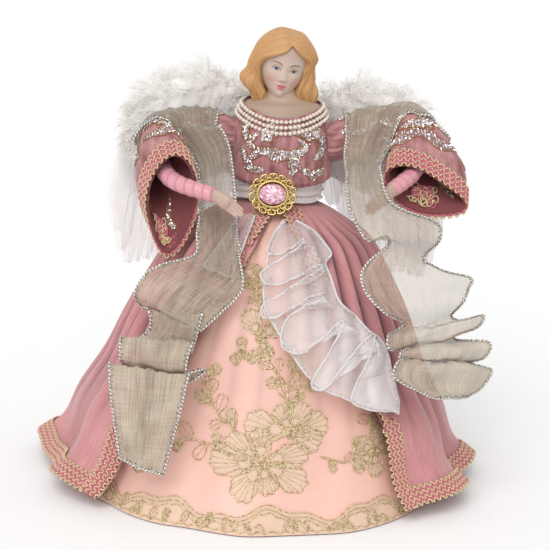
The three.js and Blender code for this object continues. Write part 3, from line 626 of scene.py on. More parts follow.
@dataclass
class Studio:
    """Floor, soft light and the camera."""

    floor_half: float = 30000.0
    floor_z: float = -0.2
    sky: float = 0.62
    sun: float = 1.75
    sun_spread: float = 45.0
    sun_turn: Place = (46.0, 0.0, -14.0)
    eye: Place = (0.0, -1000.0, 370.0)
    yaw: float = 0.395
    pitch: float = 13.167
    roll: float = 2.914
    lens_px: float = 1538.1
    frame_px: float = 550.0
    sensor_mm: float = 36.0

    def build(self) -> None:
        """Set up the whole studio."""
        bpy.context.scene.view_settings.view_transform = "Standard"
        self.lay_floor()
        self.hang_lamp()
        self.set_sky()
        self.aim()

    def lay_floor(self) -> None:
        """Lay a plain pale floor."""
        h, z = self.floor_half, self.floor_z
        maker = Maker()
        maker.grid(np.array([[(-h, -h, z), (h, -h, z)], [(-h, h, z), (h, h, z)]], float))
        maker.build("studio_floor", [FLOOR])

    def hang_lamp(self) -> None:
        """Hang one broad soft lamp."""
        lamp = bpy.data.lights.new("soft_lamp", "SUN")
        lamp.energy = self.sun
        lamp.angle = math.radians(self.sun_spread)
        hung = bpy.data.objects.new("soft_lamp", lamp)
        hung.rotation_euler = [math.radians(a) for a in self.sun_turn]
        bpy.context.scene.collection.objects.link(hung)

    def set_sky(self) -> None:
        """Set a plain sky that is pale where it is seen."""
        world = bpy.data.worlds.new("pale_room")
        bpy.context.scene.world = world
        world.use_nodes = True
        tree = world.node_tree
        back = tree.nodes["Background"]
        back.inputs["Color"].default_value = (1, 1, 1, 1)
        path = lay_node(tree, "LightPath", {})
        seen = path.outputs["Is Camera Ray"]
        for name in ("Is Glossy Ray", "Is Transmission Ray"):
            seen = lay_node(tree, "Math", {0: seen, 1: path.outputs[name]}, operation="MAXIMUM").outputs[0]
        level = lay_node(tree, "MapRange", {"Value": seen, "To Min": self.sky, "To Max": 1.0})
        tree.links.new(level.outputs[0], back.inputs["Strength"])

    def aim(self) -> None:
        """Stand the camera at the viewing angle."""
        yaw, pitch, roll = (math.radians(a) for a in (self.yaw, self.pitch, self.roll))
        ahead = np.array((math.sin(yaw) * math.cos(pitch), math.cos(yaw) * math.cos(pitch), -math.sin(pitch)))
        right = np.array((math.cos(yaw), -math.sin(yaw), 0.0))
        up = np.cross(right, ahead)
        across = math.cos(roll) * right + math.sin(roll) * up
        over = math.cos(roll) * up - math.sin(roll) * right
        lens = bpy.data.cameras.new("camera")
        lens.sensor_fit = "HORIZONTAL"
        lens.sensor_width = self.sensor_mm
        lens.lens = self.lens_px / self.frame_px * self.sensor_mm
        camera = bpy.data.objects.new("camera", lens)
        place = np.eye(4)
        place[:3, 0], place[:3, 1], place[:3, 2] = across, over, -ahead
        place[:3, 3] = np.array(self.eye) * MM
        camera.matrix_world = Matrix(place.tolist())
        bpy.context.scene.collection.objects.link(camera)
        bpy.context.scene.camera = camera


def settle(obj: Piece, body: str, slot: str, *nodes: str) -> Piece:
    """Give a finished piece its body, and hide the plain solids that it stands for.

    Args:
        obj: The piece, in its place.
        body: The body that it rides on.
        slot: Not used.
        nodes: Names of the solids that it replaces.

    Returns:
        The same piece.
    """
    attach(obj, body)
    if nodes:
        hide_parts(*nodes)
    LOG.info("%s: %d faces on %s", obj.name, len(obj.data.polygons), body)
    return obj


@dataclass(frozen=True)
class SkirtForm:
    """How one skirt hangs: rings that flare from the waist to the hem."""

    hem_z: float
    top_r: float
    hem_rx: float
    hem_ry: float
    profile: tuple[Flat, ...]
    folds: int
    fold_depth: float
    fold_power: float
    gathers: int
    gather_mm: float
    swell_mm: float
    hem_wave: float
    drapes: float
    drape_mm: float
    swing: float = 0.1
    calm_share: float = 0.75
    calm_width: float = 0.3
    drape_middle: float = 0.65
    # Painted shade in the valleys of the folds, and painted light towards the hem.
    drape_painted_shade: float = 0.14
    fold_painted_shade: float = 5.0
    hem_painted_light: float = 0.1

    def flare(self, drop: Array) -> Array:
        """Give the share of the flare reached at a share of the drop."""
        table = smooth(self.profile, 200)
        return np.interp(drop, table[:, 0], table[:, 1])

    def sway(self, drop: Array, angle: Array) -> Array:
        """Give the angles as the long folds swing them aside."""
        return angle + self.swing * drop * np.sin(3 * angle + 0.7)

    def drape(self, drop: Array, angle: Array) -> tuple[Array, Array]:
        """Give the rise of the deep folds, from valley to ridge, and how strong they are."""
        ridge = np.abs(np.sin(0.5 * self.drapes * angle + 1.2 * np.sin(2 * angle) + 0.5 * drop))
        return ridge, ease(0.01, 0.12, drop) * (1 - ease(0.4, 0.95, drop))

    def shade(self, drop: Array, angle: Array) -> Array:
        """Give the painted shade of the cloth, darker in the valleys of its folds, with painted light towards
        the hem.

        Args:
            drop: Share of the way from waist to hem.
            angle: Turn from the front, in radians.

        Returns:
            The tints of painted shade and light.
        """
        ridge, strength = self.drape(drop, angle)
        low = 0.5 - 0.5 * np.cos(self.folds * self.sway(drop, angle))
        # Painted shade in the valleys of the deep and the long folds, less painted light towards the hem.
        dark = self.drape_painted_shade * self.drape_mm * (1 - ridge) ** 1.5 * strength
        dark = dark + self.fold_painted_shade * self.fold_depth * low**2 * ease(0.4, 0.8, drop)
        dark = dark - self.hem_painted_light * ease(0.55, 0.95, drop)
        return np.stack([1 - dark, 1 - 1.08 * dark, 1 - dark, np.ones_like(dark)], -1)

    def at(self, drop: Amount, angle: Amount, off: Amount = 0.0) -> Array:
        """Give points on the cloth.

        Args:
            drop: Share of the way from waist to hem.
            angle: Turn from the front, in radians.
            off: Distance out from the cloth.

        Returns:
            The points in millimetres.
        """
        drop, angle = np.broadcast_arrays(np.asarray(drop, float), np.asarray(angle, float))
        flare = self.flare(drop)
        sway = self.sway(drop, angle)
        fold = 1 + self.fold_depth * drop**self.fold_power * np.cos(self.folds * sway)
        pleat = 0.5 + 0.5 * np.sin(self.gathers * angle + 2 * np.sin(5 * angle))
        calm = 1 - self.calm_share * hump(np.sin(angle / 2), 0.0, self.calm_width)
        pleat = self.gather_mm * calm * pleat**1.6 * ease(0.0, 0.06, drop) * (1 - ease(0.1, 0.75, drop))
        swell = self.swell_mm * calm * np.sin((2 * self.folds + 3) * sway + 1) * ease(0.15, 0.8, drop)
        ridge, strength = self.drape(drop, angle)
        drape = self.drape_mm * np.sqrt(calm) * (ridge - self.drape_middle) * strength
        push = pleat + swell + drape + off
        z = mix(WAIST_Z, self.hem_z, drop) + self.hem_wave * drop**4 * np.cos(self.folds * sway + 0.4)
        rx = mix(self.top_r, self.hem_rx, flare) * fold + push
        ry = mix(self.top_r, self.hem_ry, flare) * fold + push
        return np.stack([lean_at(z) + rx * np.sin(angle), -ry * np.cos(angle), z], -1)


UNDER = SkirtForm(
    hem_z=0.6, top_r=20.8, hem_rx=126.0, hem_ry=122.0,
    profile=(
        (0, 0), (0.021, 0.06), (0.069, 0.19), (0.133, 0.32), (0.31, 0.482), (0.43, 0.578), (0.574, 0.672),
        (0.723, 0.785), (0.87, 0.885), (1, 1),
    ),
    folds=10, fold_depth=0.012, fold_power=1.0, gathers=30, gather_mm=0.0, swell_mm=0.35, hem_wave=0.0,
    drapes=26.0, drape_mm=1.2,
)
OVER = SkirtForm(
    hem_z=12.0, top_r=22.2, hem_rx=145.0, hem_ry=131.0,
    profile=(
        (0, 0), (0.023, 0.092), (0.074, 0.21), (0.142, 0.336), (0.33, 0.496), (0.46, 0.588), (0.614, 0.68),
        (0.773, 0.805), (0.915, 0.88), (1, 1),
    ),
    folds=12, fold_depth=0.04, fold_power=2.0, gathers=46, gather_mm=1.3, swell_mm=1.1, hem_wave=2.5,
    drapes=36.0, drape_mm=5.6,
)
OPENING_TOP = 4.0
OPENING_LOW = 43.0
OPENING_DROP = 0.75


def opening_at(drop: Array) -> Array:
    """Give the half angle of the overskirt's front opening at a share of the drop."""
    s = np.minimum(np.asarray(drop, float) / OPENING_DROP, 1)
    return np.radians(mix(OPENING_TOP, OPENING_LOW, s * (1.25 - 0.25 * s)))


@dataclass(frozen=True)
class GimpBraid:
    """Gimp braid: wavy gold and rose cords laid side by side on a tape."""

    width: float = 12.0
    bands: int = 3
    wave_mm: float = 1.3
    wave_pitch: float = 4.4
    gold_r: float = 0.58
    rose_r: float = 1.1
    gold_rise: float = 0.95
    rose_rise: float = 0.6
    bob: float = 0.2
    step: float = 0.44
    square: float = 1.4
    tape_inset: float = 0.6
    tape_lift: float = 0.15
    cord_sides: int = 5
    cord_flat: float = 0.8

    def lay(self, maker: Maker, path: Array, across: Array, normal: Array, closed: bool = False) -> None:
        """Lay braid along a path.

        Args:
            maker: Where the braid goes; its slots are tape, gold and rose.
            path: Points along the middle of the braid.
            across: Directions over its width, one a point.
            normal: Directions off the cloth, one a point.
            closed: Whether the braid joins its own start.
        """
        packed = np.concatenate([path, across, normal], 1)
        if closed:
            packed = np.concatenate([packed, packed[:1]])
        length = run_of(packed[:, :3])
        count = max(8, int(length[-1] / self.step))
        at = np.linspace(0, length[-1], count, endpoint=not closed)
        packed = np.stack([np.interp(at, length, packed[:, k]) for k in range(9)], 1)
        mid, across, normal = packed[:, :3], unit(packed[:, 3:6]), unit(packed[:, 6:])
        waves = max(1, round(length[-1] / self.wave_pitch))
        phase = at / length[-1] * waves * TURN
        half = self.width / 2 - self.tape_inset
        spread = np.linspace(-half, half, 5)
        tape = mid[:, None] + spread[None, :, None] * across[:, None] + self.tape_lift * normal[:, None]
        if closed:
            tape = np.concatenate([tape, tape[:1]])
        maker.grid(tape)
        wave = self.wave_mm * np.tanh(self.square * np.sin(phase))
        for k in range(2 * self.bands + 1):
            rose = k % 2 == 1
            shift = (k / self.bands - 1) * (self.width / 2 - self.gold_r) + wave
            slot, radius, rise = 1, self.gold_r, self.gold_rise
            if rose:
                slot, radius, rise = 2, self.rose_r, self.rose_rise
            rise = rise + self.bob * np.cos(2 * phase + math.pi * rose)
            cord = mid + shift[:, None] * across + rise[:, None] * normal
            maker.tube(cord, radius, self.cord_sides, closed, slot, self.cord_flat, normal)


BRAID_FINISHES = [LINING, GOLD_THREAD, ROSE_THREAD]
BLOOMS = (
    ((3.8, 41.8), (
        (12, 27, 9), (-26, 29, 9.5), (-70, 17, 8), (-125, 24, 10), (-178, 30, 10.5), (150, 24, 9),
        (95, 18, 9),
    )),
    ((20.6, 58.8), ((14, 21, 10), (62, 17, 9), (168, 27, 11), (-20, 18, 9), (115, 16, 8))),
    ((74.0, 43.0), ((80, 12, 6), (150, 13, 6.5), (-150, 13, 6.5), (-80, 13, 6), (10, 11, 6))),
    ((-79.0, 38.0), ((80, 11, 6), (150, 12, 6), (-140, 13, 6), (-60, 13, 6), (10, 12, 6))),
    ((-1.0, 114.0), ((35, 17, 8), (120, 15, 8), (-65, 12, 6))),
    ((-11.0, 104.0), ((100, 7, 4), (-20, 7, 4), (-140, 7, 4))),
    ((-6.0, 144.0), ((80, 10, 3.6), (20, 9, 3.2), (150, 9, 3.2), (-75, 10, 3.6))),
)
SPRAYS = (
    (((-12, 58), (-24, 66), (-31, 78), (-33, 92)), 7, 10.0),
    (((-16, 44), (-34, 50), (-48, 49)), 4, 10.0),
    (((16, 70), (17, 84), (8, 96), (0, 106)), 8, 10.0),
    (((20, 74), (26, 92), (24, 106)), 6, 9.0),
    (((24, 84), (34, 90), (40, 88)), 4, 8.0),
    (((72, 52), (70, 62), (74, 72)), 4, 8.0),
    (((-2, 128), (-5, 140), (-8, 156)), 6, 7.0),
    (((-82, 48), (-84, 60), (-80, 70)), 4, 8.0),
    (((40, 44), (56, 40), (64, 46)), 4, 8.0),
)


@dataclass
class Lace:
    """Gold flower lace sewn to the front and the hem of the underskirt."""

    form: SkirtForm = UNDER
    lift: float = 0.75
    net_lift: float = 0.35
    outline_r: float = 0.34
    hatch_r: float = 0.14
    ruffle: float = 0.07
    petal_steps: int = 36
    stem_steps: int = 30
    leaf_turn: float = 52.0
    border_steps: int = 720
    border_top: float = 12.5
    border_petals: int = 84
    seed: int = 7

    def __post_init__(self) -> None:
        """Start the piece, whose slots are cord and net, and the source of its small differences."""
        self.maker = Maker()
        self.rng = np.random.default_rng(self.seed)

    def lay(self, flat: Array, lift: float, wound: bool = False) -> Array:
        """Lay flat lace points, across and up, on the cloth.

        Args:
            flat: Points across the front, or round the hem where wound, and up.
            lift: Distance off the cloth.
            wound: Whether across is measured round the hem.

        Returns:
            The points in the round.
        """
        z = np.clip(flat[..., 1], 0.8, None)
        drop = 1 - (z - self.form.hem_z) / (WAIST_Z - self.form.hem_z)
        if wound:
            angle = flat[..., 0] / self.form.hem_ry
        else:
            r = mix(self.form.top_r, self.form.hem_rx, self.form.flare(drop))
            angle = np.arcsin(np.clip((flat[..., 0] - lean_at(z)) / r, -0.98, 0.98))
        return self.form.at(drop, angle, lift)

    def petal(
        self, root: Array, degrees: float, length: float, width: float, filled: bool = True,
        wound: bool = False,
    ) -> None:
        """Sew one petal or leaf: a corded outline, fanned threads and, where filled, net.

        Args:
            root: Place of its root, across and up.
            degrees: The way that it points.
            length: Its length.
            width: Half its width.
            filled: Whether net and fanned threads fill it.
            wound: Whether across is measured round the hem.
        """
        th = around(self.petal_steps)
        way = heading(degrees)
        side = sideways(way)
        reach = 0.5 - 0.5 * np.cos(th)
        ruffle = self.ruffle if filled else 0.0
        wide = width * np.sin(th) * (0.45 + 0.6 * reach) * (1 + ruffle * np.sin(9 * th))
        far = length * reach * (1 + 0.6 * ruffle * np.sin(11 * th))
        flat = root + far[:, None] * way + wide[:, None] * side
        self.maker.tube(self.lay(flat, self.lift, wound), self.outline_r, 5, True)
        if not filled:
            rib = root + np.linspace(0, 0.9, 6)[:, None] * length * way
            self.maker.tube(self.lay(rib, self.lift, wound), self.hatch_r * 1.4, 4)
            return
        middle = root + 0.55 * length * way
        rings = [self.lay(middle + f * (flat - middle), self.net_lift, wound) for f in (0.02, 0.35, 0.7, 1.0)]
        self.maker.grid(np.stack(rings), True, 1)
        inner = root + (0.12 + 0.3 * reach[:, None]) * length * way + 0.4 * wide[:, None] * side
        self.maker.tube(self.lay(inner, self.lift, wound), self.outline_r * 0.7, 4, True)
        for k in range(3, self.petal_steps - 2, 2):
            hatch = inner[k] + shares(4)[:, None] * (flat[k] - inner[k])
            self.maker.tube(self.lay(hatch, self.lift * 0.8, wound), self.hatch_r, 4)

    def bloom(self, centre: Flat, petals: tuple[Place, ...]) -> None:
        """Sew a bloom of petals round a coiled eye.

        Args:
            centre: Its middle, across and up.
            petals: The way, length and half width of each petal.
        """
        middle = np.array(centre)
        for degrees, length, width in petals:
            self.petal(middle + 2.0 * heading(degrees), degrees, length, width)
        a = np.linspace(0, 3 * TURN, 60)
        eye = middle + (0.6 + 0.14 * a)[:, None] * np.stack([np.cos(a), np.sin(a)], 1)
        self.maker.tube(self.lay(eye, self.lift * 1.3), self.outline_r, 5)

    def spray(self, stem: tuple[Flat, ...], leaves: int, size: float) -> None:
        """Sew a stem with leaves to both sides.

        Args:
            stem: Places along the stem, across and up.
            leaves: How many leaves it has.
            size: Their usual length.
        """
        last = self.stem_steps - 1
        line = smooth(stem, self.stem_steps)
        self.maker.tube(self.lay(line, self.lift), self.outline_r, 5)
        self.maker.tube(self.lay(line + (0.9, 0.4), self.lift), self.outline_r * 0.7, 4)
        for k in range(leaves):
            i = int((k + 0.7) / leaves * last)
            way = line[min(i + 1, last)] - line[i - 1]
            turn = self.leaf_turn if k % 2 else -self.leaf_turn
            degrees = math.degrees(math.atan2(way[1], way[0])) + turn + self.rng.uniform(-18, 18)
            long = size * self.rng.uniform(0.8, 1.25)
            self.petal(line[i], degrees, long, long * 0.36, k % 3 == 0)

    def border(self) -> None:
        """Sew the scalloped border round the hem."""
        a = around(self.border_steps)
        top = self.border_top + 3.4 * np.sin(11 * a + 0.6) + 1.6 * np.sin(27 * a)
        high = WAIST_Z - self.form.hem_z

        def line(z: Array, lift: float) -> Array:
            """Give a line round the hem at heights."""
            return self.form.at(1 - z / high, a, lift)

        self.maker.grid(np.stack([line(mix(0.3, top, f), 0.3) for f in shares(5)]), True, 1)
        for z in (top, top - 2.4, top - 4.6 + 0.5 * np.sin(90 * a), 1.2 + 1.4 * np.abs(np.sin(48 * a))):
            self.maker.tube(line(z, self.lift), self.outline_r, 5, True)
        for k in range(self.border_petals):
            across = (k + self.rng.uniform(-0.2, 0.2)) / self.border_petals * TURN * self.form.hem_ry
            degrees = self.rng.uniform(20, 160)
            root = np.array((across, self.rng.uniform(2.0, 4.0)))
            length = self.rng.uniform(5.5, 8.5)
            width = self.rng.uniform(2.0, 3.0)
            self.petal(root, degrees, length, width, k % 3 == 0, True)

    def build(self) -> Piece:
        """Sew all the lace.

        Returns:
            The lace.
        """
        for centre, petals in BLOOMS:
            self.bloom(centre, petals)
        for stem, leaves, size in SPRAYS:
            self.spray(stem, leaves, size)
        self.border()
        return self.maker.build("gold_lace", [LACE_GOLD, LACE_NET])


@dataclass
class Underskirt:
    """Peach satin underskirt with its lace."""

    columns: int = 360
    rows: int = 110

    def build(self) -> None:
        """Hang the skirt and sew the lace on."""
        angle = around(self.columns)
        drop = shares(self.rows)[:, None]
        maker = Maker()
        maker.grid(UNDER.at(drop, angle), True, tint=UNDER.shade(drop, angle), flip=True)
        skirt = maker.build("satin_underskirt", [PEACH_SATIN])
        settle(skirt, "figure", "satin", "underskirt")
        lace = settle(Lace().build(), "figure", "lace", "lace_hem")


@dataclass
class Overskirt:
    """Rose velvet overskirt, open in front and edged with braid."""

    columns: int = 560
    rows: int = 130
    braid: GimpBraid = GimpBraid()
    braid_lift: float = 0.7
    hem_steps: int = 900
    edge_steps: int = 160
    feel: float = 0.004

    def build(self) -> None:
        """Hang the skirt and sew the braid on."""
        drop = shares(self.rows)[:, None]
        edge = opening_at(drop)
        angle = mix(edge, TURN - edge, shares(self.columns))
        maker = Maker()
        maker.grid(OVER.at(drop, angle), flip=True, tint=OVER.shade(drop, angle))
        skirt = maker.build("velvet_overskirt", [VELVET])
        settle(skirt, "figure", "velvet", "overskirt")
        trim = settle(self.trim(), "figure", "braid", "front_braid_left", "front_braid_right", "hem_braid")

    def frame(self, drop: Array, angle: Array, hem: bool) -> tuple[Array, Array, Array]:
        """Give places for braid on the cloth.

        Args:
            drop: Shares of the way from waist to hem.
            angle: Turns from the front, in radians.
            hem: Whether the braid runs round the hem.

        Returns:
            The places, the directions across the braid and those off the cloth.
        """
        mid = OVER.at(drop, angle, self.braid_lift)
        down = unit(OVER.at(drop + self.feel, angle) - OVER.at(drop - self.feel, angle))
        onward = unit(OVER.at(drop, angle + self.feel) - OVER.at(drop, angle - self.feel))
        off = unit(np.cross(down, onward))
        off = np.where((off * (mid - (LEAN, 0, 0))).sum(1, keepdims=True) < 0, -off, off)
        return mid, down if hem else unit(np.cross(off, np.gradient(mid, axis=0))), off

    def trim(self) -> Piece:
        """Sew braid down both front edges and round the hem.

        Returns:
            The braid.
        """
        maker = Maker()
        half = self.braid.width / 2
        drop = np.linspace(0.012, 1.0, self.edge_steps)
        radius = mix(OVER.top_r, OVER.hem_ry, OVER.flare(drop))
        for side in (-1, 1):
            angle = side * (opening_at(drop) + half / radius)
            self.braid.lay(maker, *self.frame(drop, angle, False))
        ends = opening_at(np.array(1.0)) + 0.06
        angle = np.linspace(ends, TURN - ends, self.hem_steps)
        length = np.linalg.norm(OVER.at(0.97, 0.0) - OVER.at(1.0, 0.0)) / 0.03
        self.braid.lay(maker, *self.frame(np.full(self.hem_steps, 1 - half / length), angle, True))
        return maker.build("skirt_braid", BRAID_FINISHES)


@dataclass(frozen=True)
class GlitterScroll:
    """A scroll of silver glitter glued to cloth and outlined in cord."""

    lift: float = 0.35
    cord_r: float = 0.42
    flake: float = 0.75
    thin: float = 0.3
    flake_lift: float = 0.3
    flake_tilt: float = 0.5
    per_mm2: float = 2.2
    steps: int = 26
    feel: float = 0.3

    def lay(self, maker: Maker, line: tuple[Flat, ...], half: float, surface: Surface, rng: Rng) -> None:
        """Lay one scroll.

        Args:
            maker: Where it goes; its slots are bed, cord and glitter.
            line: Points along its middle, in the cloth's own two measures.
            half: Half its width in the middle.
            surface: Gives places on the cloth from the two measures and a lift.
            rng: Where its chances come from.
        """
        mid = smooth(line, self.steps)
        t = shares(self.steps)
        side = sideways(unit(np.gradient(mid, axis=0)))
        wide = half * (0.25 + np.sin(math.pi * t) ** 0.7) * (1 + 0.22 * np.sin(17 * t + rng.uniform(0, 6)))
        left, right = mid + wide[:, None] * side, mid - wide[:, None] * side
        maker.grid(np.stack([surface(mix(left, right, f), self.lift * 0.6) for f in shares(5)], 1))
        maker.tube(surface(np.concatenate([left, right[::-1]]), self.lift), self.cord_r, 5, True, 1)
        count = int(run_of(mid)[-1] * half * 1.6 * self.per_mm2)
        i = rng.integers(0, self.steps, count)
        spot = mix(left[i], right[i], rng.uniform(0.04, 0.96, (count, 1)))
        self.sprinkle(maker, spot + rng.uniform(-0.3, 0.3, (count, 2)), surface, rng)

    def sprinkle(self, maker: Maker, spot: Array, surface: Surface, rng: Rng) -> None:
        """Sprinkle slim flakes, each tilted its own way.

        Args:
            maker: Where they go.
            spot: Their places, in the cloth's own two measures.
            surface: Gives places on the cloth from the two measures and a lift.
            rng: Where their chances come from.
        """
        count = len(spot)
        place = surface(spot, self.lift)
        e1 = unit(surface(spot + (self.feel, 0.0), self.lift) - place)
        e2 = unit(surface(spot + (0.0, self.feel), self.lift) - place)
        off = unit(np.cross(e1, e2))
        e1 = unit(e1 + off * rng.normal(0, self.flake_tilt, (count, 1)))
        e2 = unit(e2 + off * rng.normal(0, self.flake_tilt, (count, 1)))
        outward = np.sign((off * (surface(spot, 2.0) - place)).sum(1, keepdims=True))
        place = place + off * outward * self.flake_lift
        spin = rng.uniform(0, math.pi, (count, 1))
        e1, e2 = np.cos(spin) * e1 + np.sin(spin) * e2, np.cos(spin) * e2 - np.sin(spin) * e1
        long = self.flake * rng.uniform(0.6, 1.15, (count, 1)) * e1
        short = self.flake * self.thin * e2
        low, high = place - short, place + short
        edge = np.stack([low - long, low + long, high - long, high + long], 1)
        maker.strips(edge.reshape(count, 2, 2, 3), 2)


SCROLL_FINISHES = [GLITTER_BED, BROWN_CORD, GLITTER]
BODICE_SCROLLS = (
    (((-22, 242), (-25, 236), (-22, 230)), 2.2),
    (((-5, 240), (-7, 235), (-11, 230)), 3.0),
    (((5, 239), (12, 236), (20, 234), (27, 237)), 2.2),
    (((22, 234), (30, 229), (27, 222), (21, 219)), 2.4),
    (((-19, 217), (-10, 223), (0, 221), (9, 222), (16, 225)), 2.2),
    (((6, 220), (9, 215), (7, 209)), 2.3),
    (((14, 212), (22, 208), (30, 212)), 2.0),
    (((-24, 224), (-22, 217), (-17, 211), (-10, 211)), 1.9),
    (((-14, 233), (-20, 228), (-15, 224)), 1.5),
    (((11, 231), (16, 227), (12, 224)), 1.4),
)
CHEST = (
    (186, 31.8, 26.3), (198, 32.2, 26.8), (206.5, 32.6, 27.1), (215, 33, 27.5), (225, 33, 27.5),
    (233, 32, 26), (240, 30, 22.5), (247, 27.5, 18.5), (253, 24.5, 15.5), (259, 22, 14),
)
BROOCH_LOBES = ((0.76, 1.0, 2.9, 0.0, 0.62), (0.62, 0.82, 1.9, 0.5, 0.45))
BROOCH_ROPES = ((0.78, 0.4, 0.6), (0.66, 1.9, 0.75), (0.63, 2.7, 0.55))
BROOCH_CUP = ((0.66, 2.6), (0.66, 0.2), (0.4, -0.2), (0.02, -0.2))
STONE_RINGS = ((1.0, 1.6, 0.0), (0.98, 2.4, 0.0), (0.78, 4.0, 0.5), (0.5, 5.0, 0.0))
# Pinks for the stone's facets, some near white: painted reflections of the light that the facets catch.
STONE_GLINT_PINKS = ((226, 174, 190), (248, 228, 234), (206, 136, 160), (236, 204, 214), (216, 160, 180))


@dataclass
class Bust:
    """Velvet bodice with its pearls, sash and brooch."""

    neckline_z: float = 250.0
    neckline_slope: float = 0.17
    neck_depth: float = 19.0
    neck_dip: float = 3.0
    neck_rise: float = 3.0
    blouse_z: float = 203.0
    blouse_slope: float = 0.14
    blouse_depth: float = 26.0
    blouse_height: float = 40.0
    round_mm: float = 30.0
    columns: int = 300
    rows: int = 70
    sash_z: float = 189.3
    sash_h: float = 17.0
    sash_rx: float = 29.3
    sash_ry: float = 23.8
    sash_columns: int = 260
    sash_rows: int = 60
    pearl_rows: int = 3
    pearl_r: float = 1.4
    pearl_pitch: float = 3.1
    pearl_gap: float = 0.08
    pearl_drop: float = 1.6
    string_r: float = 0.3
    brooch_size: Flat = (15.0, 13.0)
    brooch_tilt: float = 0.26
    brooch_centre: Place = (2.5, -34.2, 196.6)
    lobes: int = 14
    bead_r: float = 0.75
    stone_size: Flat = (9.0, 6.9)
    stone_top: float = 5.15
    facets: int = 16
    scroll_share: float = 1.3
    seed: int = 11

    def chest(self, z: Array) -> tuple[Array, Array]:
        """Give the half width and half depth of the dressed chest at heights."""
        table = smooth(CHEST, 120)
        return np.interp(z, table[:, 0], table[:, 1]), np.interp(z, table[:, 0], table[:, 2])

    def low_at(self, angle: Array) -> Array:
        """Give the height of the bodice's lower edge."""
        return self.blouse_z - self.blouse_slope * self.blouse_depth * np.cos(angle)

    def cloth(self, angle: Array, z: Array, off: Amount) -> Array:
        """Give places on the bodice.

        Args:
            angle: Turn from the front, in radians.
            z: Height.
            off: Distance out from the cloth.

        Returns:
            The places.
        """
        rx, ry = self.chest(z)
        up = (z - self.low_at(angle)) / self.blouse_height
        pucker = 0.75 * np.sin(44 * angle + 3 * np.sin(4 * angle)) * (1 - ease(0.0, 0.45, up))
        roll = 1.3 * hump(up, 0.1, 0.12) - 2.4 * (1 - ease(0.0, 0.08, up))
        pull = 0.5 * np.sin(9 * angle + z * 0.35) * hump(np.abs(np.sin(angle)), 1.0, 0.35)
        push = pucker + roll + pull + off
        return np.stack([LEAN + (rx + push) * np.sin(angle), -(ry + push) * np.cos(angle), z], -1)

    def wrapped(self, turn: float, flat: Array, lift: Amount) -> Array:
        """Give places on the bodice from across and up, turned to the front or the back."""
        return self.cloth(flat[..., 0] / self.round_mm + turn, flat[..., 1], lift)

    def scoop(self, angle: Array) -> Array:
        """Give how far the neckline dips at the front, less its rise over the shoulders."""
        return self.neck_dip * hump(np.sin(angle / 2), 0.0, 0.42) - self.neck_rise * np.sin(angle) ** 2

    def bodice(self) -> None:
        """Sew the bodice and its glitter."""
        a = around(self.columns)
        v = shares(self.rows)[:, None]
        top = self.neckline_z - self.neckline_slope * self.neck_depth * np.cos(a) - self.scoop(a)
        maker = Maker()
        maker.grid(self.cloth(a + 0 * v, mix(self.low_at(a), top, v), 0.0), True)
        obj = maker.build("velvet_bodice", [CRUSHED])
        settle(obj, "figure", "velvet", "bodice")
        rng = np.random.default_rng(self.seed)
        maker = Maker()
        for turn in (0.0, math.pi):
            for line, half in BODICE_SCROLLS:
                GlitterScroll().lay(maker, line, self.scroll_share * half, partial(self.wrapped, turn), rng)
        scrolls = maker.build("bodice_scrolls", SCROLL_FINISHES)
        settle(scrolls, "figure", "braid")

    def pearls(self) -> None:
        """String the rows of pearls along the neckline."""
        rng = np.random.default_rng(self.seed + 1)
        a = around(400)
        for row in range(self.pearl_rows):
            below = self.pearl_drop + row * self.pearl_pitch
            z = np.full(len(a), self.neckline_z - below)
            for _ in range(8):
                rx, ry = self.chest(z)
                y = -(ry + self.pearl_r) * np.cos(a)
                z = self.neckline_z + self.neckline_slope * y - below - self.scoop(a)
            path = np.stack([LEAN + (rx + self.pearl_r) * np.sin(a), y, z], 1)
            ring = np.concatenate([path, path[:1]])
            length = run_of(ring)[-1]
            count = int(length / (2 * self.pearl_r + self.pearl_gap))
            beads = even(ring, length / count)[:count]
            places = beads + rng.normal(0, 0.08, beads.shape)
            maker = Maker()
            maker.balls(places, self.pearl_r * rng.uniform(0.95, 1.03, count), 14, 9)
            maker.tube(path, self.string_r, 5, True, 1)
            pearls = maker.build(f"pearl_string_{row + 1}", [PEARL, WHITE_THREAD])
            settle(pearls, "figure", "pearl", f"pearl_row_{row + 1}")

    def sash(self) -> None:
        """Wind the sheer sash round the waist."""
        a = around(self.sash_columns)
        v = shares(self.sash_rows)[:, None]
        crease = 0.75 * np.sin(TURN * 3.2 * v + 0.9 * np.sin(2 * a) + 0.5 * np.sin(5 * a))
        crease = crease + 0.35 * np.sin(TURN * 7 * v + 2 * np.sin(3 * a))
        belly = 0.8 * np.sin(math.pi * v) - 0.6
        rx, ry = self.sash_rx + belly + crease, self.sash_ry + belly + crease
        z = self.sash_z + self.sash_h * v + 0.4 * np.sin(6 * a)
        maker = Maker()
        maker.grid(np.stack([LEAN + rx * np.sin(a), -ry * np.cos(a), z], -1), True)
        sash = maker.build("organza_sash", [SASH_SHEER])
        settle(sash, "figure", "organza", "waist_sash")

    def on_brooch(self, flat: Array, lift: Amount) -> Array:
        """Give places on the tilted brooch.

        Args:
            flat: Places across and up.
            lift: Distance out from its base.

        Returns:
            The places in the shared frame.
        """
        c, s = math.cos(self.brooch_tilt), math.sin(self.brooch_tilt)
        lift = np.broadcast_to(lift, flat.shape[:-1])
        x, u = flat[..., 0], flat[..., 1]
        cx, cy, cz = self.brooch_centre
        return np.stack([cx + x, cy - lift * c + u * s, cz + lift * s + u * c], -1)

    def oval(self, angles: Array, size: Flat, share: float, lift: float) -> Array:
        """Give an oval on the brooch, at a share of a size."""
        return self.on_brooch(np.stack([np.sin(angles), np.cos(angles)], 1) * share * size, lift)

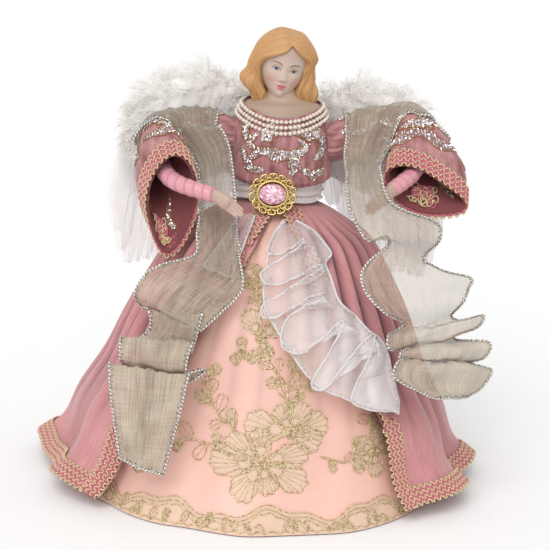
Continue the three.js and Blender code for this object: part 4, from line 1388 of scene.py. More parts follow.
    def brooch(self) -> None:
        """Make the filigree setting and the cut stone."""
        maker = Maker()
        th = around(40)
        swell = 0.5 - 0.5 * np.cos(th)
        for k in range(self.lobes):
            for ring, (inner, outer, width, shift, radius) in enumerate(BROOCH_LOBES):
                a = (k + shift) / self.lobes * TURN
                way = np.array((math.sin(a), math.cos(a)))
                reach = inner + (outer - inner) * swell
                bulge = width * np.sin(th) * (0.55 + 0.45 * swell)
                flat = reach[:, None] * way * self.brooch_size - bulge[:, None] * sideways(way)
                lift = 0.8 + 0.7 * np.sin(th / 2) + 0.5 * ring
                maker.tube(self.on_brooch(flat, lift), radius, 6, True)
        a = around(180)
        for share, lift, radius in BROOCH_ROPES:
            rope = radius * (1 + 0.16 * np.sin(46 * a))
            maker.tube(self.oval(a, self.brooch_size, share, lift), rope, 8, True)
        maker.grid(np.stack([self.oval(a, self.brooch_size, *ring) for ring in BROOCH_CUP]), True)
        beads = self.oval(a[::13], self.brooch_size, 0.9, 1.2)
        maker.balls(beads, np.full(len(beads), self.bead_r), 8, 6)
        settle(maker.build("gilt_setting", [GILT]), "figure", "gilt", "brooch_setting")
        self.stone()

    def stone(self) -> None:
        """Cut the oval stone in flat facets, each painted a slightly different pink at random as a painted
        reflection of the light it catches.
        """
        rng = np.random.default_rng(self.seed + 2)
        n = self.facets
        levels = []
        for share, lift, shift in STONE_RINGS:
            levels.append(self.oval((np.arange(n) + shift) / n * TURN, self.stone_size, share, lift))
        faces: list[tuple[Array, Array, Array]] = []
        for low, high, step in zip(levels[:-1], levels[1:], (0, 0, 1)):
            for k in range(n):
                peak = high[(k + step) % n]
                faces.append((low[k], low[(k + 1) % n], peak))
                faces.append((peak, high[k - 1 + step], low[k]))
        middle = self.on_brooch(np.zeros(2), self.stone_top)
        faces += [(levels[-1][k], levels[-1][(k + 1) % n], middle) for k in range(n)]
        # Painted reflection: each facet takes one of these pinks at random, for the light it catches.
        pinks = np.array([linear(c) for c in STONE_GLINT_PINKS])
        maker = Maker()
        for face in faces:
            tint = pinks[rng.integers(0, len(pinks))] * rng.uniform(0.92, 1.06)
            maker.add(np.array(face), np.array([[0, 1, 2]]), np.zeros((1, 3, 2)), 0, np.tile(tint, (3, 1)))
        settle(maker.build("cut_stone", [GEM], False), "figure", "stone_pink", "brooch_gem")

    def build(self) -> None:
        """Dress the bust."""
        self.bodice()
        self.pearls()
        self.sash()
        self.brooch()


# Height, half width and half depth of the face.
FACE_RINGS = (
    (-15.6, 0.6, 7.5), (-15.2, 3.4, 11.0), (-14, 6.2, 13.6), (-11, 9.9, 15.4), (-7, 13.0, 16.1),
    (-2, 15.4, 16.4), (4, 16.4, 16.8), (10, 15.6, 16.5), (16, 12.6, 14.0), (20, 8.0, 9.5),
)
# How far each soft feature stands out, its place aside and up, and its reach aside and up.
FACE_FEATURES = (
    (0.4, 5.4, 4.6, 4.0, 1.5), (-1.3, 5.5, 1.6, 3.4, 2.1), (1.0, 5.6, 1.3, 2.5, 1.4),
    (0.45, 1.9, -4.7, 1.0, 0.9), (0.75, 1.2, -7.7, 1.5, 0.7), (0.9, 0, -9.4, 1.9, 0.8),
    (-0.45, 0, -8.5, 2.6, 0.35), (-0.4, 0, -11.0, 2.4, 0.8), (0.9, 0, -13.3, 2.8, 1.8),
    (0.9, 7.6, -3.4, 3.8, 3.6), (-0.3, 0, -6.2, 0.7, 0.9),
)
# Height, middle aside and in depth, half width and half depth of the neck.
NECK_RINGS = (
    (238, 6, 0, 26.0, 21.0), (244, 6, 0, 26.6, 19.6), (247.5, 6, 0, 27.6, 17.6), (250, 6, 0, 26.8, 16.0),
    (252, 5.8, 0, 22.8, 14.2), (254, 5.5, -0.2, 16.4, 12.4), (256, 5.2, -0.5, 12.4, 11.2),
    (259, 5, -0.8, 10.4, 10.2), (263, 5, -1, 9.8, 9.8), (268, 5, -1, 9.6, 9.6),
)
HAIR_RIGHT = np.array((
    ((1.3, -14.9, 17.0), (-2.6, -17.2, 12.6), (-9.4, -16.4, 8.4), (-15.6, -13.8, 4.8), (-18.0, -11.8, -0.8),
     (-15.8, -11.4, -7.0), (-12.4, -10.8, -12.5), (-8.9, -9.8, -17.2), (-7.0, -8.6, -22.8),
     (-5.8, -7.0, -27.6), (-4.8, -5.0, -30.0)),
    ((1.5, -12.4, 20.2), (-5.5, -13.8, 19.0), (-12.6, -12.0, 13.6), (-18.4, -9.6, 6.0), (-20.2, -8.4, -1.5),
     (-19.6, -8.0, -7.0), (-21.6, -8.4, -11.0), (-19.5, -8.6, -15.0), (-15.5, -8.2, -18.5),
     (-12.4, -7.8, -24.2), (-8.2, -6.4, -29.6)),
    ((1.8, -5.0, 23.3), (-6.5, -5.6, 23.6), (-14.5, -4.4, 17.0), (-20.0, -3.0, 8.6), (-22.6, -2.2, 0.6),
     (-22.2, -1.8, -5.0), (-24.8, -1.8, -10.4), (-22.6, -2.0, -15.2), (-18.2, -2.4, -19.2),
     (-14.4, -3.6, -25.0), (-9.2, -3.4, -29.4)),
    ((2.0, 2.5, 24.0), (-6.0, 4.0, 24.2), (-13.0, 6.6, 18.4), (-17.6, 9.0, 9.6), (-18.8, 9.8, 0.0),
     (-18.0, 9.4, -6.5), (-18.4, 9.6, -12.0), (-16.6, 9.8, -17.0), (-14.0, 9.6, -21.0),
     (-11.5, 8.2, -23.6), (-8.0, 6.2, -24.4)),
))
HAIR_BACK = np.array((
    ((2.0, 6.5, 24.4), (1.2, 11.6, 22.8), (0.4, 17.0, 17.6), (0.0, 20.8, 8.6), (0.0, 20.6, 0.0),
     (0.0, 19.0, -8.0), (0.0, 18.2, -14.0), (0.0, 17.8, -18.6), (0.0, 16.2, -21.6), (0.0, 13.6, -22.4),
     (0.0, 10.6, -21.6)),
))
HAIR_LEFT = np.array((
    ((1.3, -14.9, 17.0), (3.6, -16.8, 15.6), (8.8, -15.6, 11.8), (15.2, -12.8, 8.0), (14.8, -12.4, 2.5),
     (13.8, -11.8, -3.0), (13.0, -10.8, -8.6), (12.2, -9.6, -13.4), (12.2, -8.4, -18.8), (13.2, -7.2, -23.0),
     (14.6, -5.4, -25.0)),
    ((1.5, -12.4, 20.2), (7.0, -13.2, 19.0), (13.2, -11.6, 14.6), (18.6, -9.6, 9.6), (18.6, -8.4, 3.0),
     (19.4, -8.0, -2.5), (20.2, -8.2, -7.6), (22.8, -8.6, -12.2), (23.2, -8.6, -16.8), (21.0, -7.8, -21.4),
     (18.2, -6.4, -24.8)),
    ((1.8, -5.0, 23.3), (8.8, -5.4, 22.6), (15.6, -4.2, 17.4), (21.6, -2.8, 10.4), (21.4, -2.2, 4.6),
     (22.4, -1.8, -1.4), (22.6, -1.8, -6.0), (26.0, -2.0, -12.0), (26.2, -2.8, -17.0), (23.8, -3.6, -21.8),
     (20.4, -3.4, -25.0)),
    ((2.0, 2.5, 24.0), (8.6, 4.2, 23.6), (14.6, 6.8, 18.2), (19.0, 9.2, 10.2), (19.4, 9.8, 2.0),
     (19.2, 9.6, -5.0), (19.0, 9.8, -11.0), (19.6, 10.0, -15.6), (18.6, 9.4, -19.0), (15.5, 8.0, -20.6),
     (12.0, 6.4, -20.6)),
))
HAIR_TUCK = (0.76, 0.52, 1.0)


def two_tones(first: RGB, second: RGB, share: Array) -> Array:
    """Blend from one colour to another by shares."""
    return linear(first) * (1 - share) + linear(second) * share


@dataclass
class Head:
    """Bisque head: painted face, neck plate and moulded hair."""

    centre: Place = (4.5, -0.5, 274.6)
    roll: float = 10.5
    nod: float = 5.0
    turn: float = 8.0
    face_rows: int = 230
    face_columns: int = 220
    face_low: float = -15.6
    face_high: float = 20.0
    face_turn: float = 1.75
    long_from: float = 1.5
    long_face: float = 1.13
    eye_out: float = 5.7
    eye_half: float = 2.9
    hair_rows: int = 150
    hair_columns: int = 300
    skin: RGB = (199, 177, 162)
    # Painted shade towards the top of the forehead.
    forehead_shade: RGB = (176, 152, 138)
    # Painted light on the underside of the chin.
    chin_light: RGB = (226, 206, 192)
    # Painted shade on the plate and up the neck, under the head and hair.
    throat_shade: RGB = (166, 142, 124)
    nape_shade: RGB = (180, 156, 137)
    blush: RGB = (206, 138, 120)
    nostril: RGB = (180, 116, 102)
    lip: RGB = (204, 108, 112)
    lip_line: RGB = (168, 78, 80)
    brow: RGB = (60, 40, 34)
    # Painted shade over the upper lids.
    eyelid_shade: RGB = (182, 154, 140)
    eyelid_fold: RGB = (146, 112, 96)
    lash: RGB = (58, 42, 38)
    lower_lash: RGB = (120, 80, 66)
    iris: RGB = (78, 88, 108)
    pupil: RGB = (34, 28, 30)
    white: RGB = (196, 190, 186)
    hair: RGB = (202, 156, 104)
    hair_dark: RGB = (168, 118, 72)

    def __post_init__(self) -> None:
        """Start the piece."""
        self.maker = Maker()

    def pose(self, points: Array) -> Array:
        """Turn upright head points to the way the head is held."""
        held = turned(turned(turned(points, self.turn, "Z"), self.nod, "X"), self.roll, "Y")
        return held + np.array(self.centre)

    def face(self) -> None:
        """Model and paint the face."""
        h = np.linspace(self.face_low, self.face_high, self.face_rows)
        table = smooth(FACE_RINGS, 300)
        w, d = (np.interp(h, table[:, 0], table[:, k])[:, None] for k in (1, 2))
        phi = np.linspace(-self.face_turn, self.face_turn, self.face_columns)[None]
        x, z = w * np.sin(phi), h[:, None] + 0 * phi
        deep = d * np.sign(np.cos(phi)) * np.abs(np.cos(phi)) ** 0.9
        slope = np.clip((4.5 - z) / 9, 0, 1)
        out = (0.5 + 1.75 * slope**1.3) * hump(x, 0, 1.5 + 0.9 * slope)
        out = out * ease(-6.3, -4.1, z) * (1 - ease(3.0, 7.0, z))
        for rise, aside, up, reach_x, reach_z in FACE_FEATURES:
            twin = hump(x, -aside, reach_x) if aside else 0
            out = out + rise * ((hump(x, aside, reach_x) + twin) * hump(z, up, reach_z))
        low = np.where(z < self.long_from, self.long_from + (z - self.long_from) * self.long_face, z)
        points = np.stack([x, -(deep + out * np.clip(np.cos(phi), 0, 1)), low], -1)
        self.maker.grid(self.pose(points), tint=self.paint(x, z))

    def paint(self, x: Array, z: Array) -> Array:
        """Paint the face: skin, painted shade on the forehead and the upper lids, painted light under the
        chin, blush, lips, eyes and brows.

        Args:
            x: Places aside on the face.
            z: Places up on the face.

        Returns:
            The painted colours.
        """
        tint = np.ones(x.shape + (4,)) * linear(self.skin)

        def brush(colour: RGB, share: Array) -> None:
            """Lay a colour over what is painted."""
            s = np.clip(share, 0, 1)[..., None]
            tint[...] = tint * (1 - s) + linear(colour) * s

        ax = np.abs(x)
        # Painted shade towards the top of the forehead.
        brush(self.forehead_shade, 0.6 * ease(3.0, 11.0, z))
        # Painted light on the underside of the chin, against the shade under it.
        brush(self.chin_light, 0.85 * (1 - ease(-15.4, -11.4, z)))
        brush(self.blush, 0.6 * hump(ax, 7.6, 2.8) * hump(z, -5.4, 2.6))
        # Painted shade over the upper lids and eye sockets.
        brush(self.eyelid_shade, 0.4 * hump(ax, self.eye_out, 3.0) * hump(z, 3.0, 1.0))
        lip_top = -7.15 - 0.1 * x**2 - 0.3 * hump(x, 0, 0.6)
        lip_low = -10.3 + 0.19 * x**2
        lips = ease(-0.45, 0.4, lip_top - z) * ease(-0.45, 0.4, z - lip_low) * (1 - ease(2.2, 3.2, ax))
        brush(self.lip, 0.9 * lips)
        brush(self.lip_line, 0.6 * hump(z, -8.5 - 0.02 * x**2, 0.26) * (1 - ease(2.2, 3.0, ax)))
        u = (ax - self.eye_out) / self.eye_half
        upper = 1.05 + 0.85 * (1 - u**2) + 0.15 * u
        lower = 1.0 - 0.6 * (1 - u**2) + 0.15 * u
        inside = ease(-0.15, 0.15, upper - z) * ease(-0.12, 0.12, z - lower) * (np.abs(u) < 1)
        ring = np.hypot(ax - self.eye_out, z - 1.2)
        brush(self.white, inside)
        brush(self.iris, inside * (1 - ease(1.15, 1.35, ring)))
        brush(self.pupil, inside * (1 - ease(0.4, 0.6, ring)))
        brush(self.lash, 0.95 * (hump(z, upper + 0.05, 0.3) * (1 - ease(1.0, 1.15, np.abs(u)))))
        brush(self.eyelid_fold, 0.6 * hump(z, upper + 0.95, 0.22) * (1 - ease(0.85, 1.1, np.abs(u))))
        brush(self.lower_lash, 0.5 * hump(z, lower - 0.05, 0.16) * (1 - ease(0.8, 1.0, np.abs(u))))
        arch = 4.1 + 1.25 * np.sin(np.clip((ax - 2.4) / 7.2, 0, 1) * 2.6)
        thick = 0.42 - 0.18 * ease(5.0, 9.6, ax)
        brush(self.brow, 0.95 * hump(z, arch, thick) * ease(2.2, 3.0, ax) * (1 - ease(9.0, 10.0, ax)))
        brush(self.nostril, 0.4 * hump(ax, 1.3, 0.5) * hump(z, -5.6, 0.35))
        return tint

    def neck(self) -> None:
        """Model the neck and the plate that the bodice closes over, painted darker than the face as the shade
        under the head and hair.
        """
        z, mid_x, mid_y, rx, ry = (column[:, None] for column in smooth(NECK_RINGS, 60).T)
        a = around(72)
        bone = 0.5 * hump(z, 250.0, 1.6) * np.cos(2 * a) * (np.cos(a) > 0)
        points = np.stack([mid_x + rx * np.sin(a), mid_y - ry * np.cos(a), z + bone], -1)
        # Painted shade: darkest on the plate, a little less up the neck.
        up = ease(250.0, 257.0, points[..., 2:])
        self.maker.grid(points, True, tint=two_tones(self.throat_shade, self.nape_shade, up))

    def guides(self) -> Array:
        """Give the locks that the hair follows, from its right edge round the back to its left, tucked in."""
        ends = HAIR_RIGHT[:1] * HAIR_TUCK, HAIR_LEFT[:1] * HAIR_TUCK
        return np.concatenate([ends[0], HAIR_RIGHT, HAIR_BACK, HAIR_LEFT[::-1], ends[1]])

    def locks(self) -> None:
        """Mould the hair in waves along its guides."""
        rows, cols = self.hair_rows, self.hair_columns
        sheet = smooth(smooth(self.guides(), cols).swapaxes(0, 1), rows)
        v = shares(rows)[:, None]
        u = shares(cols)[None]
        off = unit(np.cross(np.gradient(sheet, axis=0), np.gradient(sheet, axis=1)))
        drift = u + 0.012 * np.sin(9 * v + 14 * u)
        drift = drift + 0.016 * ease(0.35, 0.7, v) * np.sin(TURN * (1.7 * v + 3 * u))
        strand = 0.38 * np.cos(TURN * 22 * drift + 2.2 * np.sin(TURN * 3 * u))
        strand = strand + 0.17 * np.cos(TURN * 61 * drift + 3 * np.sin(TURN * 5 * u))
        wave = 0.8 * np.sin(TURN * (1.9 * v + 0.06 * np.sin(TURN * 4 * u)) + 0.4) * ease(0.15, 0.4, v)
        fade = ease(0.0, 0.05, v) * (0.35 + 0.65 * ease(0.0, 0.04, u) * ease(0.0, 0.04, 1 - u))
        out = (strand * (0.5 + 0.8 * ease(0.05, 0.5, v)) + wave) * fade
        sign = np.sign((off * sheet).sum(-1, keepdims=True))
        sign[v[:, 0] > 0.62] = sign[int(0.6 * rows)][None]
        points = sheet + off * sign * out[..., None]
        shade = np.clip(0.5 - 0.55 * strand + 0.1 * np.cos(TURN * 110 * drift), 0, 1)[..., None] * 0.5
        self.maker.grid(self.pose(points), tint=two_tones(self.hair, self.hair_dark, shade))

    def build(self) -> None:
        """Cast and paint the head."""
        self.face()
        self.neck()
        self.locks()
        settle(self.maker.build("bisque_bust_head", [BISQUE]), "figure", "bisque", "bisque_head")


class Side(Enum):
    """The figure's own right and left, by the way they lie along X."""

    RIGHT = -1
    LEFT = 1

    @property
    def label(self) -> str:
        """Give the side's plain name."""
        return self.name.lower()


Pair = tuple[Place, Place]

# Middle of each ring of a sleeve, and its two half axes.
SLEEVE_CAP = (((-6.5, 0, -3.5), (0, 11.3, 0), (0, 0, 11.3)), ((0, 0, -3.0), (0, 13.2, 0), (0, 0, 13.2)))
SLEEVES = {
    Side.RIGHT: (
        ((14, 0, -1), (0, 14, 0), (0, 0, 14)), ((29, -3, -4), (3, 14.5, 0), (0, 0, 17)),
        ((43, -9, -13), (11, 11, 0), (0, 1, 21)), ((39, -25, -25), (14.6, 4, 0), (0, 4, 27)),
        ((33, -42, -40), (17, 0, 0), (-1, -2, 33)),
    ),
    Side.LEFT: (
        ((14, 0, 2), (0, 14, 0), (0, 0, 14)), ((30, -2, 6), (2, 14, 0), (0, 0, 15)),
        ((48, -8, 5), (9, 11, 0), (0, 1, 16)), ((57, -23, -8), (20, 3, -6), (2, 4, 15)),
        ((59, -40, -26), (27, 2.5, -10.5), (5, 0, 12.5)),
    ),
}
SLEEVE_TAPER = {Side.RIGHT: 0.3, Side.LEFT: 0.0}
SLEEVE_SCROLLS = (
    (((18, 14), (26, 20), (34, 17), (40, 24)), 2.0),
    (((30, 30), (38, 36), (33, 44), (40, 50)), 2.2),
    (((52, 16), (58, 26), (52, 36), (58, 46)), 2.0),
    (((14, 34), (8, 42), (14, 50), (8, 60)), 2.0),
    (((66, 40), (74, 48), (68, 58)), 2.0),
    (((-10, 22), (-4, 32), (-12, 42)), 2.0),
    (((84, 24), (90, 36), (84, 48), (92, 58)), 2.0),
    (((104, 30), (110, 42), (104, 54)), 2.0),
    (((24, 54), (32, 60), (44, 58)), 1.8),
    (((4, 48), (12, 52), (20, 48), (28, 53)), 1.8),
    (((36, 46), (44, 50), (52, 47)), 1.6),
    (((16, 58), (28, 57), (40, 60), (52, 57), (62, 59)), 1.7),
    (((2, 30), (10, 36), (20, 34), (28, 39)), 1.8),
    (((14, 63), (26, 65.5), (38, 64), (50, 66), (62, 64)), 1.6),
    (((9, 54), (4, 60), (9, 66)), 1.8),
)
LINING_SCROLLS = ((((80, 58), (86, 64), (81, 70)), 1.5), (((112, 54), (108, 62), (114, 69)), 1.5))
ARM_LINES = {
    Side.RIGHT: (
        (1.6, 0, -3.5), (14, 0, -1), (30, -3, -5), (41, -14, -14), (37, -32, -23), (27, -47, -28),
        (4, -60, -32),
    ),
    Side.LEFT: (
        (1.6, 0, -3.5), (14, 0, 2), (31, -2, 6), (47, -9, 5), (54, -22, -5), (49, -34, -16),
        (35, -53, -24.5),
    ),
}
ARM_RADII = (6.5, 8.6, 7.0, 5.9, 5.5, 5.2, 4.7)
# Palm, finger tips and thumb.
HANDS = {
    Side.RIGHT: ((-2, -62, -34.5), (-14, -66, -42.5), (-4, -59, -40)),
    Side.LEFT: ((30, -55, -29), (20, -53, -39), (25, -50, -37)),
}
FINGERS = (0.82, 0.98, 1.0, 0.88)
SCARF_BACK = {
    Side.RIGHT: (((8, 18, -26), (38, 17, -30)), ((6, 18, -10), (42, 17, -16))),
    Side.LEFT: (((8, 18, -22), (44, 16, -18)), ((6, 18, -6), (46, 16, -2))),
}
SCARF_OVER = (18, 45, 70, 90, 110, 132, 154)
SCARF_FRONT = {
    Side.RIGHT: (
        ((1, -19, 2), (23, -23, -11)), ((-4, -26, -9), (17, -27, -19)), ((-8, -34, -30), (13.5, -34, -33)),
        ((-10, -44, -46), (13, -43, -46)), ((-12, -56, -60), (14, -54, -58)),
    ),
    Side.LEFT: (
        ((6, -19, 4), (34, -22, 0)), ((5, -28, -8), (30, -34, -7)), ((6, -46, -18), (26, -62, -12)),
        ((8, -58, -34), (34, -66, -30)),
    ),
}
SCARF_FALL = {
    Side.RIGHT: (
        ((-13, -66, 149), (-44, -58, 160)), ((-17, -74, 139), (-62, -64, 155)),
        ((-25, -80, 130), (-74, -68, 149)), ((-37, -86, 119), (-80, -74, 138)),
        ((-36, -78, 120), (-77, -67, 128)), ((-37, -86, 129), (-71, -74, 127)),
        ((-40, -86, 115), (-70, -76, 115)), ((-43, -85, 104), (-84, -76, 104)),
        ((-42, -95, 114), (-87, -85, 113)), ((-45, -100, 97), (-86, -91, 100)),
        ((-33, -93, 96), (-83, -85, 91)), ((-43, -95, 88), (-90, -86, 88)),
        ((-43, -105, 96), (-92, -97, 97)), ((-48, -112, 69), (-88, -106, 65)),
        ((-56, -118, 36), (-83, -113, 43)),
    ),
    Side.LEFT: (
        ((58, -64, 181), (106, -57, 188)), ((64, -66, 176), (109, -55, 179)),
        ((74, -57, 177), (104, -48, 168)), ((76, -57, 172), (101, -46, 160)),
        ((65, -63, 163), (112, -43, 155)), ((60, -67, 154), (132, -39, 150)),
        ((64, -71, 143), (132, -41, 143)), ((75, -74, 133), (128, -46, 137)),
        ((89, -67, 124), (121, -44, 126)), ((83, -69, 120), (128, -44, 123)),
        ((78, -79, 118), (141, -48, 128)), ((80, -81, 111), (138, -50, 121)),
        ((93, -73, 112), (124, -48, 112)), ((87, -83, 111), (145, -52, 111)),
        ((86, -85, 107), (143, -54, 102)), ((94, -79, 106), (131, -54, 98)),
        ((84, -91, 106), (148, -60, 96)), ((84, -93, 96), (141, -64, 84)),
        ((105, -91, 85), (132, -70, 79)),
    ),
}
# Share of the length, layers that lie on each other and their painted shade.
SCARF_LAYERS = {
    Side.RIGHT: (
        (0.0, 1.3, 0.72), (0.32, 1.3, 0.72), (0.45, 1.0, 0.8), (0.6, 1.2, 1.0), (0.75, 1.8, 1.0),
        (1.0, 2.4, 1.0),
    ),
    Side.LEFT: (
        (0.0, 1.4, 0.88), (0.3, 1.2, 0.88), (0.42, 0.8, 1.0), (0.66, 0.9, 1.0), (0.78, 1.7, 0.96),
        (1.0, 2.8, 0.96),
    ),
}
FRILL_LAYERS = ((0.0, 0.45, 1.0), (0.5, 0.7, 1.0), (0.8, 1.4, 1.0), (1.0, 2.2, 1.0))
TAIL_LAYERS = ((0.0, 0.6, 1.0), (1.0, 0.6, 1.0))
# Places across, up and off the skirt.
FRILL_EDGE = (
    (11, 182, 4), (5, 175, 5), (1, 166, 6), (6, 164, 7), (15, 168, 9), (23, 173, 10), (21, 170, 11),
    (10, 163, 11), (-1, 156, 11), (-2, 152, 11), (2, 148, 10), (12, 149, 9), (23, 154, 8), (33, 159, 7),
    (35, 157, 8), (25, 152, 10), (10, 143, 12), (0, 137, 12), (-1, 132, 12), (3, 129, 11), (13, 132, 9),
    (25, 139, 8), (35, 143, 8), (36, 140, 9), (25, 136, 11), (16, 130, 12), (12, 122, 12), (13, 114, 12),
    (18, 110, 11), (27, 110, 9), (37, 117, 8), (48, 126, 7), (50, 125, 8), (45, 114, 10), (37, 102, 12),
    (32, 92, 12), (35, 88, 11), (42, 90, 9), (55, 105, 8), (68, 116, 7), (71, 113, 8), (66, 100, 10),
    (58, 86, 12), (58, 80, 12), (66, 75, 11), (79, 71, 9), (88, 69, 7),
)
FRILL_ROOT = (
    (18, 182, 3), (27, 178, 3), (35, 172, 3), (41, 165, 3), (38, 159, 3), (42, 150, 3), (46, 140, 3),
    (52, 133, 3), (59, 127, 3), (67, 119, 3), (75, 112, 3), (80, 104, 3), (84, 90, 3), (89, 74, 3),
)
FRILL_BACK = (
    (10, 182, 3.2), (3, 172, 3.6), (1, 161, 4), (0, 148, 4), (1, 135, 4), (9, 122, 4), (15, 113, 4),
    (26, 99, 4), (35, 90, 4), (47, 84, 4), (59, 79, 4), (73, 74, 4), (87, 70, 4),
)
FEATHER_BASES = ((93, 4), (88, 8), (80, 11), (70, 13), (58, 14), (46, 13), (34, 10), (24, 6), (14, 1))
FEATHER_TIPS = (
    (112, -62), (108, -88), (100, -97), (90, -97), (78, -91), (64, -80), (50, -65), (35, -47), (18, -24),
)
# Places out and up from the hinge, with the radius of the down there.
DOWN_LINE = ((18, 12, 6), (34, 24, 13), (56, 27, 18), (78, 18, 17), (89, 4, 11), (94, -10, 5))
DOWN_SINK = {Side.RIGHT: 5.0, Side.LEFT: 9.0}
FRAME_LOOKS = {
    "tree_cone": CARD, "torso_core": CARD, "wing_mount": FELT, "wing_card": FELT, "shoulder_wire": WIRE,
    "arm_wire": WIRE,
}


def in_place(side: Side, points: Array) -> Array:
    """Set arm points in the shared frame.

    Args:
        side: Which arm.
        points: Places out from the shoulder, along Y and up.

    Returns:
        The places in the shared frame.
    """
    p = np.asarray(points, float)
    x = LEAN + side.value * (SHOULDER_OUT + p[..., 0])
    return np.stack([x, p[..., 1], SHOULDER_Z + ARM_RISE + p[..., 2]], -1)


def fused(obj: Piece, voxel: float, passes: int) -> None:
    """Melt a piece's overlapping parts into one smooth skin.

    Args:
        obj: The piece.
        voxel: How fine the skin is, in millimetres.
        passes: How often the skin is smoothed.
    """
    melt = obj.modifiers.new("melt", "REMESH")
    melt.mode = "VOXEL"
    melt.voxel_size = voxel * MM
    calm = obj.modifiers.new("calm", "SMOOTH")
    calm.iterations = passes
    calm.factor = 0.5
    seen = obj.evaluated_get(bpy.context.evaluated_depsgraph_get())
    skin = bpy.data.meshes.new_from_object(seen)
    obj.modifiers.clear()
    obj.data = skin
    skin.polygons.foreach_set("use_smooth", np.ones(len(skin.polygons), bool))


@dataclass
class Arm:
    """One arm: sleeve, cuff braid, ribbon-wound arm and hand."""

    side: Side
    taper: float
    round_mm: float = 20.0
    long_mm: float = 75.0
    lining: float = 1.1
    lining_from: float = 0.25
    close_in: float = 5.5
    ring_count: int = 240
    columns: int = 150
    rows: int = 90
    scroll_share: float = 1.2
    braid: GimpBraid = GimpBraid()
    braid_lift: float = 0.6
    braid_over: float = 1.6
    rim_r: float = 0.7
    loops: int = 34
    loop_r: float = 0.5
    wrap_pitch: float = 6.4
    wrap_step: float = 0.55
    wrap_rings: int = 480
    wrap_sides: int = 40
    finger_gap: float = 2.1
    skin_voxel: float = 0.42
    seed: int = 21

    def __post_init__(self) -> None:
        """Work out the smooth run of the sleeve's rings."""
        self.name = self.side.label
        self.body = f"{self.name}_arm"
        self.rings = smooth((*SLEEVE_CAP, *SLEEVES[self.side]), self.ring_count)

    def sleeve(self, t: Amount, theta: Array, off: Amount) -> Array:
        """Give places on the sleeve.

        Args:
            t: Share of the way from shoulder to mouth.
            theta: Turn round the sleeve: back, top, front, under.
            off: Distance out from the cloth.

        Returns:
            The points in the shared frame.
        """
        t, theta = np.broadcast_arrays(np.asarray(t, float), np.asarray(theta, float))
        last = self.ring_count - 1
        s = np.clip(t, 0, 1) * last
        i = np.minimum(s.astype(int), last - 1)
        ring = self.rings[i] + (s - i)[..., None, None] * (self.rings[i + 1] - self.rings[i])
        crease = 0.9 * np.sin(2 * theta + 16 * t) * ease(0.15, 0.35, t) * (1 - ease(0.7, 0.95, t))
        puff = 0.55 * np.sin(24 * theta + 2 * np.sin(3 * theta)) * hump(t, 0.16, 0.12)
        brow = np.clip(0.4 + 0.6 * np.cos(theta - math.radians(40)), 0, 1)
        cuff = 2.4 * hump(t, 0.86, 0.14) - self.close_in * brow * ease(0.88, 1.0, t)
        wilt = 0.9 * np.sin(3 * theta + 1.0) * ease(0.6, 1.0, t)
        push = np.broadcast_to(off, t.shape) + crease + puff + cuff + wilt
        middle, a, b = ring[..., 0, :], ring[..., 1, :], ring[..., 2, :]
        narrow = 1 - self.taper * np.clip(-np.sin(theta), 0, 1) ** 1.5 * ease(0.45, 0.9, t)
        wide = (a + push[..., None] * unit(a)) * narrow[..., None]
        tall = b + push[..., None] * unit(b)
        return in_place(self.side, middle + np.cos(theta)[..., None] * wide + np.sin(theta)[..., None] * tall)

    def cloth(self, flat: Array, lift: Amount) -> Array:
        """Give places on the sleeve from round and along, in millimetres."""
        return self.sleeve(flat[..., 1] / self.long_mm, flat[..., 0] / self.round_mm, lift)

    def inside(self, flat: Array, lift: Amount) -> Array:
        """Give places on the sleeve's lining from round and along, in millimetres."""
        return self.cloth(flat, -self.lining - np.asarray(lift))

    def sew_sleeve(self) -> None:
        """Sew the sleeve, its lining, its glitter and its braid."""
        name, body = self.name, self.body
        flip = self.side is Side.RIGHT
        theta = around(self.columns)
        t = shares(self.rows)[:, None]
        maker = Maker()
        maker.grid(self.sleeve(t, theta, 0.0), True, flip=flip)
        lined = self.sleeve(mix(self.lining_from, 1.0, t), theta, -self.lining)
        maker.grid(lined, True, 1, flip=not flip)
        sleeve = maker.build(f"velvet_sleeve_{name}", [CRUSHED, LINING])
        settle(sleeve, body, "velvet", f"sleeve_{name}")
        rng = np.random.default_rng(self.seed)
        maker = Maker()
        for line, half in SLEEVE_SCROLLS:
            GlitterScroll().lay(maker, line, self.scroll_share * half, self.cloth, rng)
        for line, half in LINING_SCROLLS:
            GlitterScroll().lay(maker, line, half, self.inside, rng)
        scrolls = settle(maker.build(f"sleeve_scrolls_{name}", SCROLL_FINISHES), body, "braid")
        trim = settle(self.trim(rng), body, "braid", f"cuff_braid_{name}")

    def trim(self, rng: Rng) -> Piece:
        """Sew braid round the sleeve's mouth, with a heap of thread loops inside it.

        Args:
            rng: Where the loops' chances come from.

        Returns:
            The braid.
        """
        maker = Maker()
        ring = around(300)
        lift = self.braid_lift
        rim = self.sleeve(1.0, ring, lift)
        onward = unit(rim - self.sleeve(0.93, ring, lift))
        mid = rim - (self.braid.width / 2 - self.braid_over) * onward
        off = unit(self.sleeve(0.96, ring, lift + 2.0) - self.sleeve(0.96, ring, lift))
        self.braid.lay(maker, mid, onward, off, True)
        maker.tube(self.sleeve(1.0, ring, -0.5), self.rim_r, 6, True)
        turn = around(64)
        for k in range(self.loops):
            spot = np.array((rng.uniform(87, 103), rng.uniform(65, 73)))
            size = rng.uniform(1.0, 2.2)
            tall = rng.uniform(0.5, 1.0) * np.sin(turn + 0.6 * np.sin(turn + k))
            loop = spot + size * np.stack([np.cos(turn), tall], 1)
            maker.tube(self.inside(loop, 1.4 + 1.1 * np.sin(2 * turn + k)), self.loop_r, 5, True, 1 + k % 2)
        return maker.build(f"cuff_gimp_{self.name}", BRAID_FINISHES)

